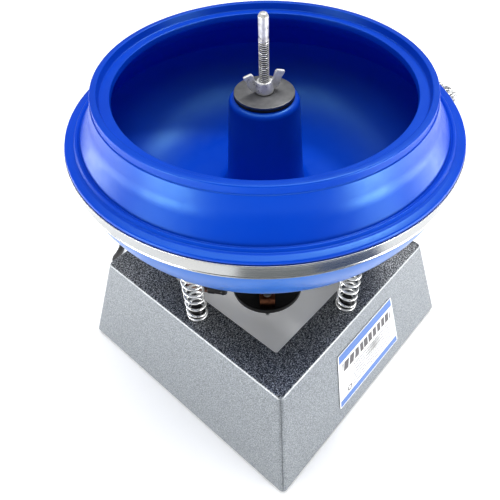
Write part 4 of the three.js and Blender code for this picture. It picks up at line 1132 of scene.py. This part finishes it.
def label_plate():
    """A thin plate on the front wall; its UVs run from the lower left corner to the upper right."""
    low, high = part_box("label_plate")
    top_half, bottom_half, corner, edge = 37.35 * MM, 44.25 * MM, 1.2 * MM, 0.2 * MM
    slant = (high.z - low.z) / math.cos(wall_tilt)
    face = Matrix.Translation(((low.x + high.x) / 2, low.y, low.z)) \
        @ Matrix.Rotation(TURN / 4 - wall_tilt, 4, "X")
    outline = filleted([(-bottom_half, edge, corner), (bottom_half, edge, corner),
                        (top_half, slant - edge, corner), (-top_half, slant - edge, corner)])
    rings = [[face @ Vector((x, y, z)) for x, y in outline] for z in (-0.5 * MM, -0.02 * MM)]
    plate = piece("label", *lofted(rings, closed=False), sharp=30)
    back = face.inverted()
    layer = plate.data.uv_layers.new(name="UVMap")
    for loop in plate.data.loops:
        spot = back @ plate.data.vertices[loop.vertex_index].co
        share = spot.y / slant
        half = bottom_half + (top_half - bottom_half) * share
        layer.data[loop.index].uv = ((spot.x + half) / (2 * half), share)
    return plate


def spring_stud(shank):
    """A shouldered stud that centres one end of a spring; its threaded shank points down."""
    return turned("stud", [
        *near(0, -shank, (0, 0, 0), (2.0, 0, 0), (2.4, 0.5, 0)),
        *near(0, 0, (2.4, 0, 0), (5.4, 0, 0.3), (5.4, 6, 0.8), (3.9, 9, 0.6), (0, 9, 0))], 32)


def hex_nut(name, flats, height, bore, z=0.0):
    """A nut with chamfered corners, standing on height z."""
    corner, chamfer = flats / math.sqrt(3), 0.4 * MM
    rings = []
    for h, share in ((z, 0.93), (z + chamfer, 1.0), (z + height - chamfer, 1.0), (z + height, 0.93)):
        ring = [polar(corner * share, TURN * k / 6, h) for k in range(7)]
        rings.append([ring[k].lerp(ring[k + 1], m / 4) for k in range(6) for m in range(4)])
    rings += [[polar(bore, TURN * k / 24, h) for k in range(24)] for h in (z + height, z)]
    return piece(name, *lofted(rings), sharp=25)


def moved(obj, x=0.0, y=0.0, z=0.0, turn=None):
    """Puts a move, after an optional turn, into the piece's own vertices."""
    if turn is not None:
        obj.data.transform(turn.to_4x4())
    obj.data.transform(Matrix.Translation((x, y, z)))
    return obj


def build_springs():
    for i, side in enumerate(SIDES):
        x, y = spring_circle * math.cos(TURN / 4 * i), spring_circle * math.sin(TURN / 4 * i)
        coil = grown(f"coil_spring_{side}", COIL_SPRING, Turns=SPRING_TURNS,
                     Radius=SPRING_RADIUS - SPRING_WIRE / 2, Wire=SPRING_WIRE / 2, Low=spring_low,
                     High=spring_high, Centre=(x, y, 0), Material=MATERIALS["spring_steel"])
        finished(coil, "spring_steel", None, f"spring_{side}")
        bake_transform(coil)
    four_of("lower_spring_studs", spring_stud(BASE_SHEET + 5.6 * MM), spring_circle, spring_low,
            "black_steel", "base", "lower_stud", SIDES)
    four_of("lower_spring_nuts", hex_nut("nut", 8 * MM, 4 * MM, 2.5 * MM), spring_circle,
            heights("lower_nut_front")[0], "zinc_plate", "base", "lower_nut", SIDES)
    hung = moved(spring_stud(3.1 * MM), turn=Matrix.Rotation(TURN / 2, 3, "X"))
    four_of("upper_spring_studs", hung, spring_circle, spring_high,
            "zinc_plate", "pan", "upper_stud", SIDES)


def build_base():
    finished(base_shell(), "base_hammertone", "base", "base_shell")
    finished(label_plate(), "label_face", "base", "label_plate")
    middle, _ = middle_and_size("foot_back_right")
    four_of("rubber_feet", foot(), math.hypot(middle.x, middle.y), 0.0,
            "black_rubber", "base", "foot", CORNERS)
    build_springs()


# ---- Pan, plate and band ------------------------------------------------------------------------
def pan_shell():
    bend_z = pan_low + PAN_BEND_RADIUS
    inside = PAN_BEND_RADIUS - PAN_WALL
    return turned("pan_shell", [
        (STUD_HOLE, pan_low, 0),
        *bend(PAN_FLAT_RADIUS, bend_z, PAN_BEND_RADIUS, PAN_BEND_RADIUS, PAN_BEND_END, 28),
        (pan_radius, pan_top, 0.5 * MM), (pan_radius - PAN_WALL, pan_top, 0.5 * MM),
        *bend(PAN_FLAT_RADIUS, bend_z, inside, inside, PAN_BEND_END, 28)[::-1],
        (STUD_HOLE, pan_low + PAN_WALL, 0)], 144)


def clamp_band():
    """A split hoop with rolled edges; its two ends turn outwards as lugs."""
    inner = pan_radius + 0.3 * MM
    outer = inner + BAND_SHEET
    rolled, low = outer + BAND_ROLLED_EDGE, pan_top - band_height
    outline = filleted([
        (inner, low, 0.2 * MM), (rolled, low, 0.3 * MM), (rolled, low + 0.9 * MM, 0.35 * MM),
        (outer, low + 1.4 * MM, 0.35 * MM), (outer, pan_top - 1.4 * MM, 0.35 * MM),
        (rolled, pan_top - 0.9 * MM, 0.35 * MM), (rolled, pan_top, 0.3 * MM), (inner, pan_top, 0.2 * MM),
    ], 3)
    slot = BAND_SLOT / inner
    steps = 200
    rings = []
    for k in range(steps + 1):
        a = BAND_ANGLE + slot + (TURN - 2 * slot) * k / steps
        rings.append([polar(r, a, z) for r, z in outline])
    parts = [piece("hoop", *lofted(rings, closed=False), sharp=35)]
    half = band_height / 2 / MM - 1.1
    for side in (-1, 1):
        at = Matrix.Rotation(BAND_ANGLE, 4, "Z") @ Matrix.Translation((
            outer + 4.9 * MM, side * 2.8 * MM, low + band_height / 2)) @ Matrix.Rotation(TURN / 4, 4, "X")
        parts.append(extruded("lug", block(-5.3, 5.3, half, 0, 2), 1.4 * MM, at, 0.3 * MM))
    return joined("clamp_hoop", *parts)


def threaded(radius, low, turns, pitch, depth):
    """The raised helix of a thread on the upright axis."""
    return grown("ridge", THREAD, Turns=float(turns), Radius=radius, Depth=depth, Pitch=pitch, Low=low,
                 Material=MATERIALS["zinc_plate"])


def band_screw():
    """A pan-head machine screw across the lugs, with its nut."""
    across = polar(1, BAND_ANGLE - TURN / 4)
    centre = polar(pan_radius + 7.3 * MM, BAND_ANGLE, middle_and_size("band_screw")[0].z)
    turn = Vector((0, 0, 1)).rotation_difference(across).to_matrix()
    shank = turned("screw", near(
        0, 0, (0, -19.9, 0), (1.5, -19.9, 0), (1.8, -19.3, 0), (1.8, 0, 0), (3.6, 0, 0.3), (3.6, 1.4, 0.7),
        (1.6, 2.5, 0.6), (0.9, 2.5, 0), (0.9, 1.6, 0), (0, 1.6, 0)), 32)
    ridge = threaded(SMALL_THREAD_RADIUS, -19 * MM, 22, SMALL_THREAD_PITCH, SMALL_THREAD_DEPTH)
    screw = moved(joined("band_clamp_screw", shank, ridge), *(centre + across * 3.9 * MM), turn=turn)
    nut = hex_nut("band_clamp_nut", 7 * MM, 3.2 * MM, SMALL_THREAD_RADIUS)
    return screw, moved(nut, *(centre - across * 7.1 * MM), turn=turn)


def centre_stud():
    """A long bolt up through the post: threaded, with a smooth rounded tip."""
    neck = stud_tip - STUD_BARE_TIP
    core = STUD_RADIUS - 0.42 * MM
    rod = turned("rod", [
        (0, plate_low - 0.5 * MM, 0), (core, plate_low - 0.5 * MM, 0), (core, neck - 0.8 * MM, 0),
        *near(STUD_RADIUS, neck, (0, -0.3, 0.2), (0, 0.6, 0.2), (-0.18, 0.9, 0.1)),
        *near(STUD_RADIUS, stud_tip, (-0.05, -2.4, 1.5), (-1.1, -0.25, 0.8)),
        (0, stud_tip - 0.02 * MM, 0)], 48)
    low = post_top - 60 * MM
    turns = (neck - 0.4 * MM - low) / THREAD_PITCH
    ridge = threaded(STUD_RADIUS, low, turns, THREAD_PITCH, 0.5 * MM)
    head = hex_nut("head", 11 * MM, 4.4 * MM, 0.1 * MM, stud_low)
    return joined("centre_bolt", rod, ridge, head)


def build_pan():
    finished(pan_shell(), "pan_enamel", "pan", "pan")
    plate_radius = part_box("motor_plate")[1].x
    plate = disc("motor_plate_disc", STUD_HOLE, plate_radius, plate_low, plate_top, 0.6 * MM, 120)
    finished(plate, "plate_steel", "pan", "motor_plate")
    finished(clamp_band(), "band_stainless", "pan", "clamp_band")
    screw, nut = band_screw()
    finished(screw, "zinc_plate", "pan", "band_screw")
    finished(nut, "zinc_plate", "pan", "band_nut")
    finished(centre_stud(), "threaded_zinc", "pan", "centre_stud")
    lock = hex_nut("stud_lock_nut_hex", 11 * MM, 5.5 * MM, STUD_RADIUS, heights("stud_lock_nut")[0])
    finished(lock, "zinc_plate", "pan", "stud_lock_nut")


# ---- Bowl ---------------------------------------------------------------------------------------
def bowl():
    """One moulding: hollow post, round-bottomed trough, flange with a bead, flared wall and stepped rim."""
    skirt = pan_radius - PAN_WALL - SKIRT_CLEARANCE
    reach = skirt - PAN_FLAT_RADIUS
    bend_z = flange_seat - BEND_BELOW_FLANGE
    drop = bend_z - bowl_low
    lip_z = rim_z - LIP_HEIGHT
    flange_top = flange_seat + FLANGE_THICKNESS
    mid_r = RIM_RADIUS + FLARE_MIDDLE[0] * (FLARE_RADIUS - RIM_RADIUS)
    mid_z = flange_top + FLARE_MIDDLE[1] * (lip_z - flange_top)
    bead = FLARE_RADIUS + 1.1 * MM + BEAD_RADIUS
    rim_inner = RIM_RADIUS - RIM_WIDTH
    mouth = rim_inner - LEDGE_WIDTH
    ledge = rim_z - LEDGE_DROP
    post_under = post_top - POST_WALL
    return turned("hopper_moulding", [
        (POST_FOOT_RADIUS - POST_WALL, bowl_low, 1 * MM),
        *bend(PAN_FLAT_RADIUS, bend_z, reach, drop, TURN / 4, 24),
        (skirt, flange_seat, 0.4 * MM),
        *near(flange_radius, flange_seat, (0, 0, 0.9), (-0.1, 2.3, 1.4)),
        *near(flange_radius, flange_top, (-4.2, -0.55, 2)),
        *near(bead, flange_top, (1.6, -0.75, 0.5), (0.2, 0.75, 0.6), (-0.9, 0.55, 0.5), (-1.9, -0.5, 0.6)),
        *near(FLARE_RADIUS, flange_top, (0, 0.1, 1.6)),
        (mid_r, mid_z, 26 * MM),
        *near(RIM_RADIUS, lip_z, (0.9, 0.1, 0.5), (0.05, 0.4, 0.35)),
        (RIM_RADIUS, rim_z, 1.0 * MM), (rim_inner + 0.1 * MM, rim_z, 0.8 * MM),
        (rim_inner - 0.5 * MM, ledge, 0.9 * MM), (mouth, ledge, 0.8 * MM),
        *near(mouth, ledge - BOWL_WALL, (-0.2, 1, 2)),
        *near(mid_r - BOWL_WALL, mid_z, (0, -3, 22)),
        *near(skirt - BOWL_WALL, bend_z, (0, 0.5, 1.2)),
        *bend(PAN_FLAT_RADIUS, bend_z, reach - BOWL_WALL, drop - BOWL_WALL, TURN / 4 - 0.05, 24)[::-1],
        (POST_FOOT_RADIUS + 0.3 * MM, bowl_low + BOWL_WALL, 9 * MM),
        (POST_TOP_RADIUS, post_top, 4.2 * MM), (STUD_HOLE, post_top, 0.4 * MM),
        (STUD_HOLE, post_under, 0.3 * MM), (POST_TOP_RADIUS - POST_WALL, post_under, 2 * MM),
    ], 192, sharp=50, steps=5)


def wing_nut():
    """A cast wing nut: a conical boss with two thin upswept wings, fused and softened."""
    parts = [turned("boss", near(
        0, nut_z, (3.25, 0, 0), (5.9, 0, 0.3), (5.9, 1.4, 0.6), (4.7, 7.4, 0.8), (3.25, 7.4, 0.2)), 48)]
    outline = near(
        0, 0, (3.6, 0.7, 0), (3.6, 6.6, 0.5), (5.9, 8.0, 2), (7.2, 12.2, 1.6), (8.6, 13.1, 0.9),
        (13.5, 11.7, 0.7), (13.2, 10.2, 1.2), (11.2, 7.6, 2.5), (10.4, 3.8, 3), (7.6, 0.9, 2))
    for side in (0, TURN / 2):
        at = Matrix.Translation((0, 0, nut_z)) @ Matrix.Rotation(WING_ANGLE + side, 4, "Z") \
            @ Matrix.Rotation(TURN / 4, 4, "X")
        parts.append(extruded("wing", outline, 2.1 * MM, at, 0.4 * MM))
    nut = joined("wing_nut_casting", *parts)
    fused(nut, 0.22 * MM, 2)
    return nut


def build_bowl():
    finished(bowl(), "bowl_plastic", "bowl", "bowl")
    low, high = heights("washer_gasket")
    gasket = disc("rubber_gasket", STUD_HOLE, WASHER_RADIUS, low, high, 0.4 * MM, 96)
    finished(gasket, "black_rubber", "washer", "washer_gasket")
    low, high = heights("steel_washer")
    washer = turned("fender_washer", [
        (STUD_HOLE, low, 0.1 * MM), (WASHER_RADIUS, low, 0.3 * MM), (WASHER_RADIUS, high, 0.35 * MM),
        (STUD_HOLE, high, 0.2 * MM)], 96)
    finished(washer, "washer_steel", "washer", "steel_washer")
    finished(wing_nut(), "bright_zinc", "wing_nut", "wing_nut")


# ---- Motor, rotor and leads ---------------------------------------------------------------------
def upper_bell():
    low, under, inside = stack_high + 0.3 * MM, motor_top - BELL_WALL, MOTOR_RADIUS - BELL_WALL
    bell = turned("bell", [
        (MOTOR_RADIUS, low, 0.4 * MM), (MOTOR_RADIUS, motor_top, 2.5 * MM), (0, motor_top, 0),
        (0, under, 0), (inside, under, 1.5 * MM), (inside, low, 0.4 * MM)], 96)
    boss = turned("boss", [
        *near(0, motor_top, (2.4, -1, 0), (4.4, -1, 0)),
        *near(0, plate_low, (4.4, -0.3, 0.4), (2.4, -0.3, 0))], 32)
    bosses = ring_of("bosses", boss, 4, MOTOR_BOLT_CIRCLE, TURN / 8, 0.0, "black_plastic")
    return joined("upper_end_bell", bell, bosses)


def lower_bell():
    top = stack_low - 0.3 * MM
    height = top - bell_low
    flat = 22 * MM
    reach = MOTOR_RADIUS - flat
    bell = turned("bell", [
        (5 * MM, bell_low, 0.3 * MM), *bend(flat, top, reach, height, TURN / 4, 12),
        *bend(flat, top, reach - BELL_WALL, height - BELL_WALL, TURN / 4, 12)[::-1],
        (5 * MM, bell_low + BELL_WALL, 0)], 96)
    at = Matrix.Translation((0, 0, bell_low + 0.25 * MM))
    rib = extruded("rib", block(10, 23, 0.9, 0.5, 0.5), 0.5 * MM, at)
    return joined("lower_end_bell", bell, ring_of("ribs", rib, 12, 0.0, 0.0, 0.0, "black_plastic"))


def flywheel():
    low, high = heights("flywheel")
    return turned("flywheel_cup", [
        *near(0, low, (4.2, 0, 0), (31.4, 0, 1), (31.4, 5.4, 0.5), (28.9, 5.4, 0.5), (28.9, 2.4, 0.6),
              (8, 2.4, 1.2)),
        (8 * MM, high, 0.6 * MM), (4.2 * MM, high, 0)], 120)


def eccentric_weight():
    middle, size = middle_and_size("eccentric_weight")
    at = Matrix.Rotation(WEIGHT_ANGLE, 4, "Z") @ Matrix.Translation((WEIGHT_CENTRE_RADIUS, 0, middle.z))
    return extruded("off_balance_weight", block(-4.9, 4.9, 6.6, 0.8, 0.8), size.z, at, 0.4 * MM)


def build_motor():
    finished(upper_bell(), "black_plastic", "pan", "motor_upper_bell")
    finished(lower_bell(), "black_plastic", "pan", "motor_lower_bell")
    kept = {"motor_stator": "lamination_steel", "rotor_core": "lamination_steel", "upper_bearing": "bronze",
            "lower_bearing": "bronze", "motor_winding": "copper"}
    for name, material in kept.items():
        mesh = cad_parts[name].data
        mesh.materials.clear()
        mesh.materials.append(MATERIALS[material])
    low, high = heights("motor_bolt_back_right")
    bolt = turned("bolt", [
        *near(0, low, (0, 0, 0), (1.6, 0, 0), (2, 0.5, 0)),
        *near(0, high - 2.6 * MM, (2, 0, 0), (3.8, 0, 0.3), (3.8, 1.3, 0.8), (2, 2.6, 0.5),
              (0, 2.6, 0))], 28)
    four_of("motor_through_bolts", bolt, MOTOR_BOLT_CIRCLE, 0.0, "zinc_plate", "pan", "motor_bolt", CORNERS)


def build_rotor():
    low, high = heights("motor_shaft")
    shaft = disc("rotor_shaft", 0, 4 * MM, low, high, 0.6 * MM, 40)
    finished(shaft, "zinc_plate", "rotor", "motor_shaft")
    finished(flywheel(), "black_plastic", "rotor", "flywheel")
    finished(eccentric_weight(), "copper", "rotor", "eccentric_weight")
    x, y, _ = polar(WEIGHT_CENTRE_RADIUS, WEIGHT_ANGLE)
    low, high = heights("weight_screw")
    core = turned("core", [
        *near(0, low, (0, 0, 0), (1.4, 0, 0), (1.7, 0.5, 0)),
        *near(0, high, (1.7, -2, 0), (3.5, -2, 0.3), (3.5, 0, 0.5), (1.1, 0, 0), (1.1, -1.2, 0),
              (0, -1.2, 0))], 32)
    ridge = threaded(SMALL_THREAD_RADIUS, low + 0.6 * MM, 12, SMALL_THREAD_PITCH, SMALL_THREAD_DEPTH)
    screw = moved(joined("weight_clamp_screw", core, ridge), x, y)
    finished(screw, "zinc_plate", "rotor", "weight_screw")
    low, high = heights("weight_nut")
    nut = hex_nut("weight_clamp_nut", 8 * MM, high - low, SMALL_THREAD_RADIUS)
    moved(nut, x, y, low, Matrix.Rotation(WEIGHT_ANGLE, 3, "Z"))
    finished(nut, "black_steel", "rotor", "weight_nut")


def inner_lead(name, end, along, route, step):
    """A brown wire out of the connector's mouth, then through places given in millimetres."""
    spots = [end, end - along * 6 * MM] + [Vector(p) * MM for p in route]
    return swept(name, catmull(spots, step), circle(INNER_LEAD_RADIUS * 0.97, 14))


def build_inner_leads():
    """The motor's lead and the mains lead meet in a closed-end connector beside the left spring."""
    mouth = Vector((-63.5, 5, 106)) * MM
    along = Vector((0.5, -0.866, 0)).normalized()
    connector = turned("closed_end_connector", near(
        0, 0, (0, 0, 0), (3.3, 0, 0.4), (3.3, 5, 0.3), (2.9, 5.6, 0.3), (2.9, 10.5, 0.8), (3.3, 12, 1.2),
        (2.2, 15, 1.4), (0, 15, 0)), 40, mouth, along)
    finished(connector, "black_plastic", "pan", "wire_connector")
    back = mouth - along * 0.3 * MM
    side = Vector((-along.y, along.x, 0)) * (INNER_LEAD_RADIUS + 0.15 * MM)
    lead = inner_lead("motor_lead_wire", back + side, along, [
        (-60, 20, 110), (-50, 24, 121), (-41.6, 20, 129), (-37.5, 16, 132)], 1.5 * MM)
    finished(lead, "wire_brown", "pan", "motor_lead")
    supply = inner_lead("supply_lead_wire", back - side, along, [
        (-66, 24, 98), (-62, 44, 74), (-60, 66, 40), (-60, 86, 16),
        (-60, base_half_low / MM - 12, 8)], 2 * MM)
    finished(supply, "wire_brown", None, "supply_lead")
    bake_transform(supply)


# ---- Floor and light ----------------------------------------------------------------------------
def build_stage():
    half = FLOOR_HALF
    floor = piece("floor", [(-half, -half, 0), (half, -half, 0), (half, half, 0), (-half, half, 0)],
                  [(0, 1, 2, 3)])
    paper = Finish("paper", light(250, 250, 250), 0.9, Specular_IOR_Level=0.1, Emission_Color=(1, 1, 1, 1),
                   Emission_Strength=0.19)
    paper.paint(paper.use("cloudy", Scale=3, Low=0.2, High=0.8), light(248, 249, 250), light(253, 253, 253))
    floor.data.materials.append(paper.material)
    floor.location.z = -0.2 * MM
    world = bpy.data.worlds.new("studio")
    world.use_nodes = True
    sky = world.node_tree.nodes["Background"]
    sky.inputs["Color"].default_value = (0.93, 0.96, 1.0, 1)
    # a pale backdrop where the floor ends, without its light
    seen = node(world.node_tree, "ShaderNodeLightPath", output="Is Camera Ray")
    give(sky.inputs["Strength"], remap(seen, 0.0, 1.0, SKY_LIGHT, SKY_SEEN))
    bpy.context.scene.world = world
    reflector("grey_reflector", -14, 23, light(120, 124, 126))
    reflector("slate_reflector", 23, 56, light(58, 76, 112))


def reflector(name, start, end, tone):
    """A card on the floor, which only shows in polished metal: a sector from start to end degrees."""
    turns = [VIEW_YAW - TURN / 4 + math.radians(start + (end - start) * i / 8) for i in range(9)]
    rim = [polar(0.25, a, MM) for a in turns] + [polar(0.62, a, MM) for a in reversed(turns)]
    card = piece(name, rim, [tuple(range(len(rim)))])
    card.data.materials.append(Finish(name + "_card", tone, 0.9).material)
    card.visible_camera = card.visible_diffuse = card.visible_shadow = card.visible_transmission = False


# each soft light's name, its place and size in metres as seen from the camera's side, and its watts
LIGHTS = [
    ("left_window", (-1.2, -0.8, 0.22), (0.8, 0.4), 15),
    ("right_window", (1.25, -0.7, 0.22), (0.6, 0.4), 16),
    ("overhead", (0.0, 0.25, 2.1), (2.2, 1.9), 43),
    ("left_strip", (-1.4, 0.25, 0.13), (0.9, 0.24), 6),
    ("right_strip", (1.4, 0.15, 0.13), (0.8, 0.24), 6),
    ("key", (0.6, 0.8, 1.9), (0.3, 0.3), 14),
]


def build_lights():
    for name, place, size, power in LIGHTS:
        lamp = bpy.data.lights.new(name, "AREA")
        lamp.shape = "RECTANGLE"
        lamp.size, lamp.size_y = size
        lamp.energy = power
        obj = placed(name, lamp)
        obj.location = Matrix.Rotation(VIEW_YAW, 3, "Z") @ Vector(place)
        obj.rotation_euler = (Vector((0, 0, 0.18)) - obj.location).to_track_quat("-Z", "Y").to_euler()
    bpy.context.scene.view_settings.view_transform = "Standard"


build_base()
build_pan()
build_bowl()
build_motor()
build_rotor()
build_inner_leads()
build_stage()
build_lights()
